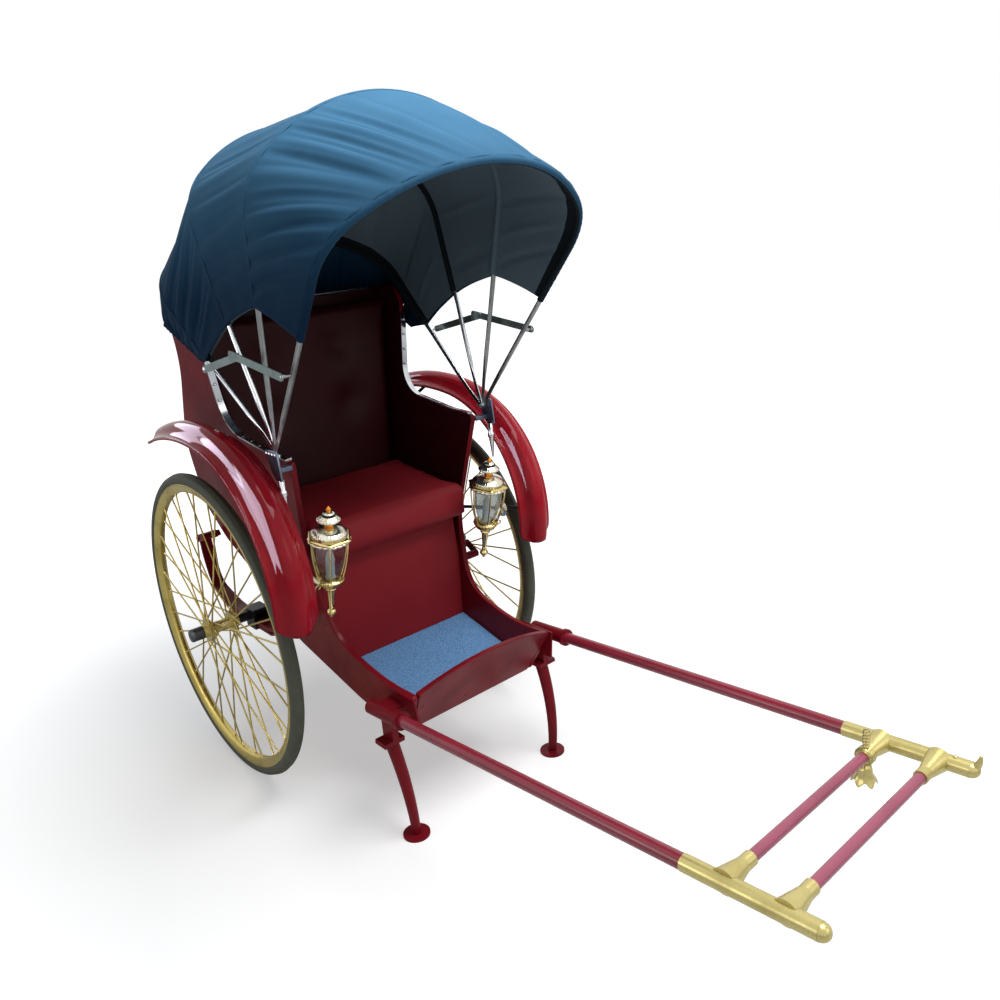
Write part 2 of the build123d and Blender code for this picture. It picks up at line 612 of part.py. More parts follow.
def legs():
    top_x = SHAFT_ROOT[0] - LEG_IN - 4.0
    top_z = leg_plate_z()
    path = ThreePointArc((top_x, LEG_TOP_Y, top_z), (top_x - LEG_SPLAY * 0.4, *LEG_MID),
                         (top_x - LEG_SPLAY, LEG_FOOT_Y, FOOT_T / 2.0 - WHEEL_R))
    sections = [Plane(origin=path @ 0, z_dir=path % 0) * Circle(LEG_TOP_R),
                Plane(origin=path @ 1, z_dir=path % 1) * Circle(LEG_FOOT_R)]
    leg = sweep(sections, path=path, multisection=True)
    leg = leg & (Pos(0, LEG_TOP_Y, top_z - WHEEL_R / 2.0) * Box(4.0 * TRACK_HALF, WHEEL_R, WHEEL_R))
    leg = leg + Pos(SHAFT_ROOT[0] - LEG_IN, LEG_TOP_Y - 4.0, top_z) * Box(*LEG_PLATE)
    leg = leg + Pos(top_x - LEG_SPLAY, LEG_FOOT_Y, FOOT_T / 2.0 - WHEEL_R) * Cylinder(FOOT_R, FOOT_T)
    leg = leg - beyond(Plane(origin=(0, 0, -WHEEL_R), z_dir=(0, 0, 1)))
    return [leg, mirror(leg, Plane.YZ)]


def fender_centre(deg):
    """Centre (y, z) and radius of the fender's arc that lies in a direction."""
    join = radians(FENDER_JOIN_DEG)
    more = FENDER_TOP_R - FENDER_FRONT_R
    y = FENDER_FRONT_R - WHEEL_R - FENDER_BEFORE_TYRE
    z = WHEEL_R + FENDER_OVER_TYRE - FENDER_FRONT_R - more * (1.0 - sin(join))
    if deg >= FENDER_JOIN_DEG:
        return y, z, FENDER_FRONT_R
    return y - more * cos(join), z - more * sin(join), FENDER_TOP_R


def fender_section(r):
    """Ogee cross-section with its edges at distance r from the arc's centre, x across and y away from it."""
    half = (FENDER_OUTER_X - FENDER_INNER_X) / 2.0
    bend = (half ** 2 + FENDER_RISE ** 2) / (4.0 * FENDER_RISE)
    turn = 2.0 * atan2(FENDER_RISE, half)

    def face_line(depth):
        """Rim, crown and rim, at a depth under the outer face."""
        crown_r, rim_r = bend - depth, bend + depth
        top_y = r + FENDER_RISE - bend
        crown = [(FENDER_MID_X + crown_r * sin(a), top_y + crown_r * cos(a)) for a in (-turn, 0.0, turn)]
        rim = [(half - rim_r * sin(a), r + bend - rim_r * cos(a)) for a in (0.0, turn / 2.0, turn)]
        return [ThreePointArc(*[(FENDER_MID_X - x, y) for x, y in rim]), ThreePointArc(*crown),
                ThreePointArc(*[(FENDER_MID_X + x, y) for x, y in rim[::-1]])]

    top, low = face_line(0.0), face_line(FENDER_T)
    return make_face(top + low + [Line(top[0] @ 0, low[0] @ 0), Line(top[2] @ 1, low[2] @ 1)])


def fenders():
    arcs = []
    for start, end in ((FENDER_JOIN_DEG, FENDER_FRONT_DEG), (FENDER_TAIL_DEG, FENDER_JOIN_DEG)):
        y, z, r = fender_centre((start + end) / 2.0)
        arcs.append(Pos(0, y, z) * Rot(start, 0, 0) * revolve(fender_section(r), Axis.X, end - start))
    a = radians(FENDER_FRONT_DEG)
    y, z, r = fender_centre(FENDER_FRONT_DEG)
    end = (FENDER_MID_X, y + r * cos(a), z + r * sin(a))
    toe = Plane(origin=end, x_dir=(1, 0, 0), z_dir=(0, cos(a), sin(a)))
    width = FENDER_OUTER_X - FENDER_INNER_X
    tongue = Pos(0, width) * RectangleRounded(width + 1.0, 2.0 * width, FENDER_TOE_R)
    square = Rectangle(2.0 * width, 2.0 * FENDER_TOE_R)
    fender = arcs[0] - toe * extrude(square - tongue, amount=width / 2.0, both=True) + arcs[1]
    return [fender, mirror(fender, Plane.YZ)]


def under_fender(deg, in_from_mid):
    """Point under the fender's crown, at a direction and a distance in from its middle line."""
    half = (FENDER_OUTER_X - FENDER_INNER_X) / 2.0
    bend = (half ** 2 + FENDER_RISE ** 2) / (4.0 * FENDER_RISE)
    y, z, r = fender_centre(deg)
    far = r + FENDER_RISE - bend + sqrt((bend - FENDER_T) ** 2 - in_from_mid ** 2)
    return (FENDER_MID_X - in_from_mid, y + far * cos(radians(deg)), z + far * sin(radians(deg)))


def stay_ends(row):
    """Both ends of a fender stay, the first inside the tub's side board."""
    start = (tub_half(row["tub_z"]) - SIDE_T / 2.0, row["tub_y"], row["tub_z"])
    return start, under_fender(row["deg"], STAY_END_IN)


def fender_stays(fender):
    """Round bars from the tub's side to the fender's underside."""
    out = []
    for row in FENDER_STAYS:
        bar = strut(*stay_ends(row), STAY_BAR_R) - fender - beyond(side_plane(1), SEAT_GAP)
        bar = bar.solids().sort_by(SortBy.VOLUME)[-1]
        out.extend([bar, mirror(bar, Plane.YZ)])
    return out


def lamp_frame():
    """Plane at the lamp's lowest point, z up its leaning axis."""
    a = radians(LAMP_LEAN_DEG)
    _, y, z = stay_ends(FENDER_STAYS[0])[1]
    y = y + LAMP_BEHIND_STAY + LAMP_H * sin(a)
    z = z + LAMP_OVER_STAY - LAMP_H * cos(a)
    return Plane(origin=(FENDER_INNER_X - LAMP_TO_FENDER, y, z), x_dir=(1, 0, 0), z_dir=(0, -sin(a), cos(a)))


def lamps():
    """Carriage lamps: brass frame with bulging posts, six-sided glass, and the rose on the fender's stay."""
    at = lamp_frame()
    low, high = LAMP_STEM_H, LAMP_STEM_H + LAMP_GLASS_H
    tray_r = LAMP_GLASS_LOW_R + 5.0
    cup = Polyline((0, 0), (9, 3), (13, 11), (9, 20), (6, 24), (8, 44), (13, low - 34), (15, low - 26),
                   (26, low - 18), (tray_r, low - 6), (tray_r, low), (0, low), close=True)
    roof = Polyline((0, high), (LAMP_ROOF_R - 3.0, high), (LAMP_ROOF_R, high + 8.0),
                    (LAMP_ROOF_R - 14.0, high + 13.0), (38, high + 26.0), (34, high + 33.0),
                    (36, high + 38.0), (20, high + 48.0), (13, high + 60.0), (7, high + 64.0),
                    (9, high + 72.0), (5, LAMP_H - 6.0), (0, LAMP_H), close=True)
    frame = revolve(Plane.XZ * make_face(cup), Axis.Z) + revolve(Plane.XZ * make_face(roof), Axis.Z)
    mid = (low + high) / 2.0
    mid_r = (LAMP_GLASS_LOW_R + LAMP_GLASS_HIGH_R) / 2.0 + LAMP_GLASS_BULGE
    post = ThreePointArc((LAMP_GLASS_LOW_R, 0, low - 2.0), (mid_r, 0, mid),
                         (LAMP_GLASS_HIGH_R, 0, high + 2.0))
    post = sweep(Plane(origin=post @ 0, z_dir=post % 0) * Circle(LAMP_POST_R), path=post)
    for k in range(6):
        frame = frame + Rot(0, 0, 60.0 * k) * post
    glass = at * lamp_body(low, mid, high, 2.4 * LAMP_POST_R, 0.0)
    glass = glass - at * lamp_body(low, mid, high, 2.4 * LAMP_POST_R + LAMP_GLASS_T, 8.0)
    stay_a, stay_b = stay_ends(FENDER_STAYS[0])
    seat = at.origin + at.z_dir * (low - LAMP_ROSE_BELOW_GLASS)
    t = (seat.Y - stay_a[1]) / (stay_b[1] - stay_a[1])
    bar_x = stay_a[0] + t * (stay_b[0] - stay_a[0])
    bar_z = stay_a[2] + t * (stay_b[2] - stay_a[2])
    rose_x = bar_x - STAY_BAR_R - 1.5
    rose = strut((rose_x, seat.Y, bar_z), (rose_x - 6.0, seat.Y, bar_z), LAMP_ROSE_R, LAMP_ROSE_R - 8.0)
    arm = strut((rose_x - 5.0, seat.Y, bar_z), (at.origin.X + tray_r + SEAT_GAP, seat.Y, seat.Z), 6.0)
    frame = at * frame
    rose = (rose + arm) - frame - strut(stay_a, stay_b, STAY_BAR_R + SEAT_GAP)
    rose = rose.solids().sort_by(SortBy.VOLUME)[-1]
    return [[part, mirror(part, Plane.YZ)] for part in (frame, glass, rose)]


def lamp_body(low, mid, high, inset, over):
    """Six-sided body inside the lamp's posts, bulging between its ends and longer by over at both."""
    mid_r = (LAMP_GLASS_LOW_R + LAMP_GLASS_HIGH_R) / 2.0 + LAMP_GLASS_BULGE
    rows = [(low + SEAT_GAP - over, LAMP_GLASS_LOW_R), (mid, mid_r),
            (high - SEAT_GAP + over, LAMP_GLASS_HIGH_R)]
    return loft([Pos(0, 0, z) * RegularPolygon(r - inset, 6) for z, r in rows], ruled=True)


def hand_bell():
    """Brass bell on a collar round the left end of the rear crossbar."""
    y = SHAFT_TIP[1] + CROSSBARS_BEHIND_TIP[1]
    x, _, z = on_shaft(1, y)
    at = Pos(x - SHAFT_R - FITTING_L + FITTING_CUP / 2.0, y, z)
    collar = Rot(0, 90, 0) * Cylinder(FITTING_R + 4.0, 14.0)
    top, mouth, grip = -FITTING_R - 2.0, -FITTING_R - 2.0 - BELL_H, FITTING_R + 2.0 + BELL_HANDLE_H
    handle = Polyline((0, 16), (6, 16), (4, 26), (7, grip - 18), (5, grip - 4), (0, grip), close=True)
    cup = Polyline((0, top), (7, top), (11, top - 8), (14, mouth + 14), (BELL_R, mouth), (BELL_R - 2, mouth),
                   (12, mouth + 14), (9, top - 10), (0, top - 10), close=True)
    bell = collar + revolve(Plane.XZ * make_face(handle), Axis.Z)
    bell = bell + revolve(Plane.XZ * make_face(cup), Axis.Z)
    bell = bell + Pos(0, 0, mouth + 18.0) * Cylinder(1.5, 2.0 * (BELL_H - 26.0))
    bell = bell + Pos(0, 0, mouth + 4.0) * Sphere(4.0)
    return at * (bell - Rot(0, 90, 0) * Cylinder(FITTING_R + SEAT_GAP, 40.0))


def bow_plane(deg):
    """Plane of one bow: local x across, local y away from the pivot axis."""
    a = radians(deg)
    up = Vector(0, -cos(a), sin(a))
    side = Vector(1, 0, 0)
    return Plane(origin=(0, *HOOD_AXIS), x_dir=side, z_dir=side.cross(up))


def bow_half_at(rho, grow=0.0):
    """Half width of the straight leg at distance rho from the axis."""
    return BOW_FOOT_HALF + grow + rho / BOW_WIDE_AT * BOW_SPREAD


def bow_wire(grow, start):
    """Line of a bow as five tangent pieces: leg, corner, crown, corner, leg."""
    tilt = atan2(BOW_SPREAD, BOW_WIDE_AT)
    wide = (bow_half_at(BOW_WIDE_AT) + grow * cos(tilt), BOW_WIDE_AT - grow * sin(tilt))
    r = BOW_CORNER_R + grow
    cx, cy = wide[0] - r * cos(tilt), wide[1] + r * sin(tilt)
    top = BOW_TOP + grow
    dy = cy - top
    crown_r = (r ** 2 - cx ** 2 - dy ** 2) / (2.0 * (dy + r))
    ky = top - crown_r
    meet = atan2(cy - ky, cx)
    shoulder = (crown_r * cos(meet), ky + crown_r * sin(meet))
    half_way = (meet - tilt) / 2.0
    corner = (cx + r * cos(half_way), cy + r * sin(half_way))
    low = (bow_half_at(start) + grow / cos(tilt), start)
    return [Line(low, wide), ThreePointArc(wide, corner, shoulder),
            ThreePointArc(shoulder, (0.0, top), (-shoulder[0], shoulder[1])),
            ThreePointArc((-shoulder[0], shoulder[1]), (-corner[0], corner[1]), (-wide[0], wide[1])),
            Line((-wide[0], wide[1]), (-low[0], low[1]))]


def bow(row):
    """Steel tube bent to the bow's line, flattened at its feet into lugs that turn on the pivot."""
    plane = bow_plane(row["deg"])
    path = plane * Wire(bow_wire(0.0, BOW_TUBE_FROM))
    tube = sweep(Plane(origin=path @ 0, z_dir=path % 0) * Circle(BOW_R), path=path)
    lug_x = LUG_FIRST_X + (LUG_T + LUG_GAP) * row["place"]
    bar = Pos(lug_x + LUG_T / 2.0, BOW_FLAT_TO / 2.0, 0) * Box(LUG_T, BOW_FLAT_TO, LUG_NECK_W)
    eye = Pos(lug_x + LUG_T / 2.0, 0, 0) * Rot(0, 90, 0) * Cylinder(LUG_W / 2.0, LUG_T)
    hole = Pos(lug_x + LUG_T / 2.0, 0, 0) * Rot(0, 90, 0) * Cylinder(HOOD_PIN_R + RUNNING_GAP, 3.0 * LUG_T)
    flat = Rot(-90, 0, 0) * RectangleRounded(LUG_T, LUG_NECK_W, LUG_T * 0.4)
    flat = Pos(lug_x + LUG_T / 2.0, BOW_FLAT_TO - 1.0, 0) * flat
    round_end = Rot(-90, 0, 0) * RectangleRounded(1.9 * BOW_R, 1.9 * BOW_R, BOW_R * 0.9)
    round_end = Pos(bow_half_at(BOW_TUBE_FROM), BOW_TUBE_FROM + BOW_R, 0) * round_end
    foot = loft([flat, round_end])
    lug = (bar + eye + foot) - hole
    for side in (lug, mirror(lug, Plane.YZ)):
        tube = tube + plane * side
    return tube


def cloth_face(row, grow, behind=0.0):
    """Closed strip along one bow, as thick as the cloth."""
    inner = bow_wire(grow, row["hem"])
    outer = bow_wire(grow + CLOTH_T, row["hem"])
    closing = [Line(inner[-1] @ 1, outer[-1] @ 1), Line(outer[0] @ 0, inner[0] @ 0)]
    return bow_plane(row["deg"]) * Pos(0, 0, -behind) * make_face(inner + closing + outer)


def hem_face():
    """Closed strip round the outside of the tub's back, where the rear cloth ends."""
    a = radians(CURTAIN_HEM_DEG)
    plane = Plane(origin=(0, CURTAIN_HEM_Y, CURTAIN_HEM_Z), x_dir=(1, 0, 0), z_dir=(0, -sin(a), cos(a)))
    deep = (CURTAIN_BACK_Y - CURTAIN_HEM_Y) / cos(a)

    def line(grow):
        """Open line of the hem, from one side round the back to the other."""
        near = tub_half(CURTAIN_HEM_Z) + CURTAIN_OVER_SIDE + grow
        far = tub_half(CURTAIN_HEM_Z + deep * sin(a)) + CURTAIN_OVER_SIDE + grow
        r = CURTAIN_CORNER_R + grow
        d = deep + grow
        turn = (far - r * (1.0 - cos(radians(45.0))), d - r * (1.0 - sin(radians(45.0))))
        return [Line((near, 0), (far, d - r)), ThreePointArc((far, d - r), turn, (far - r, d)),
                ThreePointArc((far - r, d), (0, d + 6.0), (r - far, d)),
                ThreePointArc((r - far, d), (-turn[0], turn[1]), (-far, d - r)),
                Line((-far, d - r), (-near, 0))]

    inner, outer = line(0.0), line(CLOTH_T)
    closing = [Line(inner[-1] @ 1, outer[-1] @ 1), Line(outer[0] @ 0, inner[0] @ 0)]
    return plane * make_face(inner + closing + outer)


def hood_cloth():
    """Cloth between neighbouring bows, and the curtain from the rear bow to the tub's back."""
    grow = BOW_R + CLOTH_GAP
    faces = [cloth_face(row, grow) for row in BOWS]
    panels = [loft([a, b], ruled=True) for a, b in zip(faces[:-1], faces[1:])]
    curtain = loft([hem_face(), cloth_face(BOWS[0], CLOTH_GAP, BOW_R + CLOTH_GAP)], ruled=True)
    return panels, curtain


def on_bow(row, rho):
    """Point (y, z) on a bow at distance rho from the axis."""
    a = radians(row["deg"])
    return (HOOD_AXIS[0] - rho * cos(a), HOOD_AXIS[1] + rho * sin(a))


def stay_joint():
    """Raised middle joint of the folding stays, and the length of a link."""
    r, f = on_bow(BOWS[0], STAY_ON_REAR), on_bow(BOWS[-1], STAY_ON_FRONT)
    span = hypot(f[0] - r[0], f[1] - r[1])
    length = span / 2.0 + STAY_SPARE
    rise = sqrt(length ** 2 - (span / 2.0) ** 2)
    lean = atan2(r[1] - f[1], r[0] - f[0])
    mid = ((r[0] + f[0]) / 2.0 - rise * sin(lean), (r[1] + f[1]) / 2.0 + rise * cos(lean))
    return r, f, mid


def stay_x(layer):
    """Inner face of a link layer, just outside the cloth."""
    cloth = bow_half_at(BOW_WIDE_AT) + BOW_R + CLOTH_GAP + CLOTH_T
    return cloth + STAY_OVER_CLOTH + layer * (STAY_T + STAY_LAYER_GAP)


def stay_links():
    """Rear links turn on the rear bow and front links on the front bow; they meet at the raised joint."""
    r, f, mid = stay_joint()
    groups = []
    for (y, z), layer in ((r, 0), (f, 1)):
        tail = STAY_TAIL if layer == 1 else 0.0
        reach = hypot(mid[0] - y, mid[1] - z)
        ang = atan2(mid[1] - z, mid[0] - y)
        slot = SlotCenterToCenter(reach + tail, STAY_W)
        middle = (reach + tail) / 2.0
        at = Pos(y + middle * cos(ang), z + middle * sin(ang)) * Rot(0, 0, degrees(ang))
        bar = extrude(Plane.YZ * (at * slot), amount=STAY_T)
        hole = Plane.YZ * (Pos(y, z) * Circle(STAY_PIN_R + RUNNING_GAP))
        bar = Pos(stay_x(layer), 0, 0) * (bar - extrude(hole, amount=2.0 * STAY_T, both=True))
        groups.append([bar, mirror(bar, Plane.YZ)])
    return groups


def stay_pin(row, rho, layer):
    """Pin and head on a bow that carries a stay link."""
    y, z = on_bow(row, rho)
    x = bow_half_at(rho)
    tip = stay_x(layer) + STAY_T + SEAT_GAP
    pin = strut((x, y, z), (tip + 2.5, y, z), STAY_PIN_R)
    pin = pin + strut((tip, y, z), (tip + 2.5, y, z), STAY_PIN_R + 3.0)
    boss = strut((x + 1.5, y, z), (stay_x(layer) - SEAT_GAP, y, z), STAY_PIN_R + 1.5)
    return pin + boss


def hood_brackets():
    """Fan-shaped plates beside the lugs, each with a foot on the arm, the pivot pin and a turned drop."""
    y, z = HOOD_AXIS
    x = LUG_FIRST_X + len(BOWS) * (LUG_T + LUG_GAP) + SEAT_GAP
    top, low = z + 18.0, z + 18.0 - BRACKET_H
    fan = make_face(Polyline((y - BRACKET_HEAD / 2.0, top), (y + BRACKET_HEAD / 2.0, top),
                             (y - BRACKET_NECK * 0.2, low), (y - BRACKET_NECK * 1.2, low), close=True))
    plate = Pos(x + BRACKET_T / 2.0, 0, 0) * across(fan, BRACKET_T / 2.0)
    arm_z = z - HOOD_ABOVE_ARM - 12.0
    foot_from = tub_half(arm_z) - SIDE_T / 2.0
    foot = Pos((foot_from + x) / 2.0, y + 4.0, arm_z) * Box(x - foot_from + 1.0, 26.0, 14.0)
    pin = strut((LUG_FIRST_X - 4.0, y, z), (x + BRACKET_T + 4.0, y, z), HOOD_PIN_R)
    head = strut((LUG_FIRST_X - 5.0, y, z), (LUG_FIRST_X - SEAT_GAP, y, z), HOOD_PIN_R + 2.0)
    ball = DROP_BALL_AT
    drop = Polyline((0, 0), (DROP_R, 0), (DROP_R - 1, 9 - ball), (DROP_BALL_R, 5 - ball),
                    (DROP_BALL_R, -5 - ball), (DROP_R - 1, -11 - ball), (2, 2 - DROP_L), (0, -DROP_L),
                    close=True)
    drop_x, drop_y = tub_half(low) - SIDE_T / 2.0, ARM_FRONT[0] - 15.0
    drop = Pos(drop_x, drop_y, low + 2.0) * revolve(Plane.XZ * make_face(drop), Axis.Z)
    neck = Pos((drop_x - 7.0 + x + 1.0) / 2.0, drop_y, low + 7.0) * Box(x + 1.0 - drop_x + 7.0, 14.0, 10.0)
    body = (plate + foot - beyond(side_plane(1), SEAT_GAP)) + pin + head + drop + neck
    return [body, mirror(body, Plane.YZ)]


def wheel(s):
    """Tyre, rim, laced spokes and hub of one wheel."""
    at = Pos(s * TRACK_HALF, 0, 0) * Rot(0, 90, 0)
    tyre_mid = WHEEL_R - TYRE_R
    rim_out = tyre_mid - TYRE_R + TYRE_SEAT
    rim_in = rim_out - RIM_DEPTH
    half = RIM_WIDTH / 2.0
    ring = Polyline((rim_in, -half + RIM_LIP), (rim_out - RIM_WALL, -half), (rim_out, -half),
                    (rim_out, half), (rim_out - RIM_WALL, half), (rim_in, half - RIM_LIP), close=True)
    rim = revolve(Plane.XZ * make_face(ring), Axis.Z) - Torus(tyre_mid, TYRE_R + SEAT_GAP)
    barrel = Polyline((0, -HUB_HALF), (HUB_R, -HUB_HALF), (HUB_R, -HUB_FLANGE_X), (HUB_WAIST_R, 0),
                      (HUB_R, HUB_FLANGE_X), (HUB_R, HUB_HALF), (0, HUB_HALF), close=True)
    hub = revolve(Plane.XZ * make_face(barrel), Axis.Z)
    for side in (-1, 1):
        wide = HUB_FLANGE_T + SPOKE_STAGGER
        hub = hub + Pos(0, 0, side * (HUB_FLANGE_X + SPOKE_STAGGER / 2.0)) * Cylinder(HUB_FLANGE_R, wide)
    hub = hub - Cylinder(AXLE_R - AXLE_STEP + RUNNING_GAP, 3.0 * HUB_HALF)
    cap = Pos(0, 0, s * (HUB_HALF + HUB_CAP_L / 2.0)) * Cylinder(HUB_CAP_R, HUB_CAP_L)
    dome = Pos(0, 0, s * (HUB_HALF + HUB_CAP_L)) * Sphere(HUB_CAP_R)
    squash = Pos(0, 0, s * (HUB_HALF + HUB_CAP_L / 2.0)) * Cylinder(HUB_CAP_R, HUB_CAP_L + 16.0)
    room = Cylinder(HUB_CAP_R - HUB_CAP_WALL, HUB_CAP_L)
    room = Pos(0, 0, s * (HUB_HALF + HUB_CAP_L / 2.0 - HUB_CAP_WALL)) * room
    hub = hub + ((cap + (dome & squash)) - room)
    ring_room = Cylinder(rim_in - SEAT_GAP, 2.0 * HUB_HALF)
    ring_room = ring_room - Cylinder(HUB_FLANGE_R + SEAT_GAP, 3.0 * HUB_HALF)
    spokes = []
    step = 360.0 / SPOKES_PER_FLANGE
    for n in range(SPOKES_PER_FLANGE):
        for side in (-1, 1):
            turn = 1 if n % 2 == 0 else -1
            out_a = radians(n * step + (step / 2.0 if side > 0 else 0.0))
            in_a = out_a + radians(SPOKE_CROSSING_DEG) * turn
            x = side * (HUB_FLANGE_X + (SPOKE_STAGGER if turn > 0 else 0.0))
            r0 = HUB_FLANGE_R - 4.0
            a = (r0 * cos(in_a), r0 * sin(in_a), x)
            b = ((rim_in + 4.0) * cos(out_a), (rim_in + 4.0) * sin(out_a), side * SPOKE_RIM_X)
            spokes.append(at * (strut(a, b, SPOKE_R) & ring_room))
    return at * Torus(tyre_mid, TYRE_R), at * rim, spokes, at * hub


os.makedirs("parts", exist_ok=True)

save("side_panels", *side_panels())
save("edge_trims", *edge_trims())
floor_board, back_panel, dash_board, seat_front_panel, seat_board, floor_carpet = boards()
save("floor_board", floor_board)
save("back_panel", back_panel)
save("dash_board", dash_board)
save("seat_front_panel", seat_front_panel)
save("seat_board", seat_board)
save("floor_carpet", floor_carpet)
seat_cushion, back_cushion = cushions()
save("seat_cushion", seat_cushion)
save("back_cushion", back_cushion)
frame_rails, frame_crossmembers = chassis()
save("frame_rails", *frame_rails)
save("frame_crossmembers", *frame_crossmembers)
save("axle", axle())
save("leaf_springs", *leaf_springs())
save("spring_hangers", *spring_hangers())
save("spring_clamps", *spring_clamps())
shaft_tubes, shaft_ends, shaft_sockets = shafts()
save("shafts", *shaft_tubes)
save("shaft_ends", *shaft_ends)
save("shaft_sockets", *shaft_sockets)
crossbar_rods, crossbar_fittings = crossbars()
save("crossbars", *crossbar_rods)
save("crossbar_fittings", *crossbar_fittings)
save("legs", *legs())
fender_pair = fenders()
save("fenders", *fender_pair)
save("fender_stays", *fender_stays(fender_pair[0]))
lamp_frames, lamp_glass, lamp_brackets = lamps()
save("lamp_frames", *lamp_frames)
save("lamp_glass", *lamp_glass)
save("lamp_brackets", *lamp_brackets)
save("hand_bell", hand_bell())
save("hood_brackets", *hood_brackets())
for row in BOWS:
    shape = bow(row)
    if row in (BOWS[0], BOWS[-1]):
        pin = stay_pin(row, *((STAY_ON_REAR, 0) if row is BOWS[0] else (STAY_ON_FRONT, 1)))
        shape = shape + pin + mirror(pin, Plane.YZ)
    save(row["name"], shape)
cloth, curtain = hood_cloth()
save("hood_cloth_rear", cloth[0])
save("hood_cloth_middle", cloth[1])
save("hood_cloth_front", cloth[2])
save("hood_curtain", curtain)
rear_links, front_links = stay_links()
save("stay_rear_links", *rear_links)
save("stay_front_links", *front_links)
for side, label in ((-1, "right"), (1, "left")):
    tyre, rim, spokes, hub = wheel(side)
    save("tyre_" + label, tyre)
    save("rim_" + label, rim)
    save("spokes_" + label, *spokes)
    save("hub_" + label, hub)
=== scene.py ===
import json
import math
import bpy
import bmesh
import numpy as np
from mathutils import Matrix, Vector


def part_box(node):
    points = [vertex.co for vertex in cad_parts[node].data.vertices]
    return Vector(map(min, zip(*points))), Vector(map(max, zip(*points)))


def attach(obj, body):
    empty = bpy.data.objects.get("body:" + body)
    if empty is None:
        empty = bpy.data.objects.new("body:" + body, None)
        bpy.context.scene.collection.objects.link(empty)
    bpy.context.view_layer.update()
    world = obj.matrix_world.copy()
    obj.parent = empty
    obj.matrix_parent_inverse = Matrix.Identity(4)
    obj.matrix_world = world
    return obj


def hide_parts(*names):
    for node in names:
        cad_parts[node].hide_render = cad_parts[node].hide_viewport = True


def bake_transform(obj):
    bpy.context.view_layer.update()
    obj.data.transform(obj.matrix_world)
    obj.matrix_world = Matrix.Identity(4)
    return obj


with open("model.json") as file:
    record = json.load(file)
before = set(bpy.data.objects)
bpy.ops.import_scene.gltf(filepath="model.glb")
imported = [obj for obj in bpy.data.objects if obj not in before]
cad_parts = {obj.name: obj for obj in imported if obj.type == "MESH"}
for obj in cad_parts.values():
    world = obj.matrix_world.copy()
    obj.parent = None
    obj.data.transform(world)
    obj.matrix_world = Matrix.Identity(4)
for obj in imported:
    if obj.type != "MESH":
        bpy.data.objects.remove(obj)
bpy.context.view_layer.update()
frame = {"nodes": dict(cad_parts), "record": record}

# Camera: it stands at head height ahead of the right shaft and looks back and down at the seat.
# Lens and place were worked out from the wheels, the shafts and the bows; the picture leans a little.
scene = bpy.context.scene


def placed(name, data):
    """Object made from its data and linked into the scene."""
    made = bpy.data.objects.new(name, data)
    scene.collection.objects.link(made)
    return made


eye = placed("studio_camera", bpy.data.cameras.new("studio_camera"))
eye.location = (-1.2466, -1.6505, 1.5038)
eye.rotation_euler = tuple(math.radians(a) for a in (72.632, 4.880, -41.222))
eye.data.sensor_width = 36.0
eye.data.lens = 31.17
eye.data.shift_x = -0.0003
eye.data.shift_y = -0.0037
eye.data.clip_start = 0.05
scene.camera = eye
scene.view_settings.view_transform = "Standard"


# Studio: a pale floor and a white backdrop under three large soft lamps.
# Camera, mirror and glass rays see plain white; the object is lit at a plain level.
def colour(red, green, blue):
    """Screen colour from 0 to 255 as the linear colour that a shader takes."""
    part = np.array([red, green, blue]) / 255.0
    linear = np.where(part <= 0.04045, part / 12.92, ((part + 0.055) / 1.055) ** 2.4)
    return (*linear.tolist(), 1.0)


def studio_lamp(name, place, target, size, watts):
    """Oblong soft lamp at a place, turned to face a target."""
    lamp = placed(name, bpy.data.lights.new(name, "AREA"))
    lamp.data.shape = "RECTANGLE"
    lamp.data.size, lamp.data.size_y = size
    lamp.data.energy = watts
    lamp.location = place
    lamp.rotation_euler = (Vector(target) - Vector(place)).to_track_quat("-Z", "Y").to_euler()
    return lamp


studio_lamp("overhead_lamp", (0.5, -1.1, 3.7), (0.0, 0.1, 0.6), (2.2, 1.8), 112.0)
studio_lamp("front_lamp", (1.0, -3.8, 2.4), (0.0, 0.0, 0.6), (2.2, 1.6), 16.0)
studio_lamp("left_lamp", (-4.0, 1.4, 1.6), (0.0, 0.5, 0.9), (1.8, 1.6), 22.0)

# Three pale cards stand beside and behind the right wheel; only the enamel of the fenders mirrors them.
fender_cards = bpy.data.collections.new("fender_cards")
for name, place, size, watts in (("side_card", (-4.2, 0.45, 2.3), (3.4, 4.0), 1550.0),
                                 ("corner_card", (-3.7, 3.4, 2.5), (3.4, 2.4), 760.0),
                                 ("rear_card", (-1.2, 5.0, 2.9), (2.6, 1.6), 110.0)):
    card = studio_lamp(name, place, (-0.4, 0.5, 0.9), size, watts)
    card.visible_diffuse = False
    card.data.color = (0.88, 0.80, 1.0)
    card.light_linking.receiver_collection = fender_cards


def put(socket, value):
    """Links a socket to another one, or gives it a plain value."""
    if isinstance(value, bpy.types.NodeSocket):
        socket.id_data.links.new(value, socket)
    else:
        socket.default_value = value


def fill(node, **settings):
    """Sets sockets and attributes of a node by name, with an underscore for each space."""
    for key, value in settings.items():
        label = key.replace("_", " ")
        if label in node.inputs:
            put(node.inputs[label], value)
        else:
            setattr(node, key, value)
    return node


def add(tree, kind, **settings):
    """New node of a kind with its settings."""
    return fill(tree.nodes.new("ShaderNode" + kind), **settings)


def fed(tree, kind, *sources, **settings):
    """First output of a new node whose first sockets are linked to the sources in their order."""
    node = add(tree, kind, **settings)
    for socket, source in zip(node.inputs, sources):
        put(socket, source)
    return node.outputs[0]


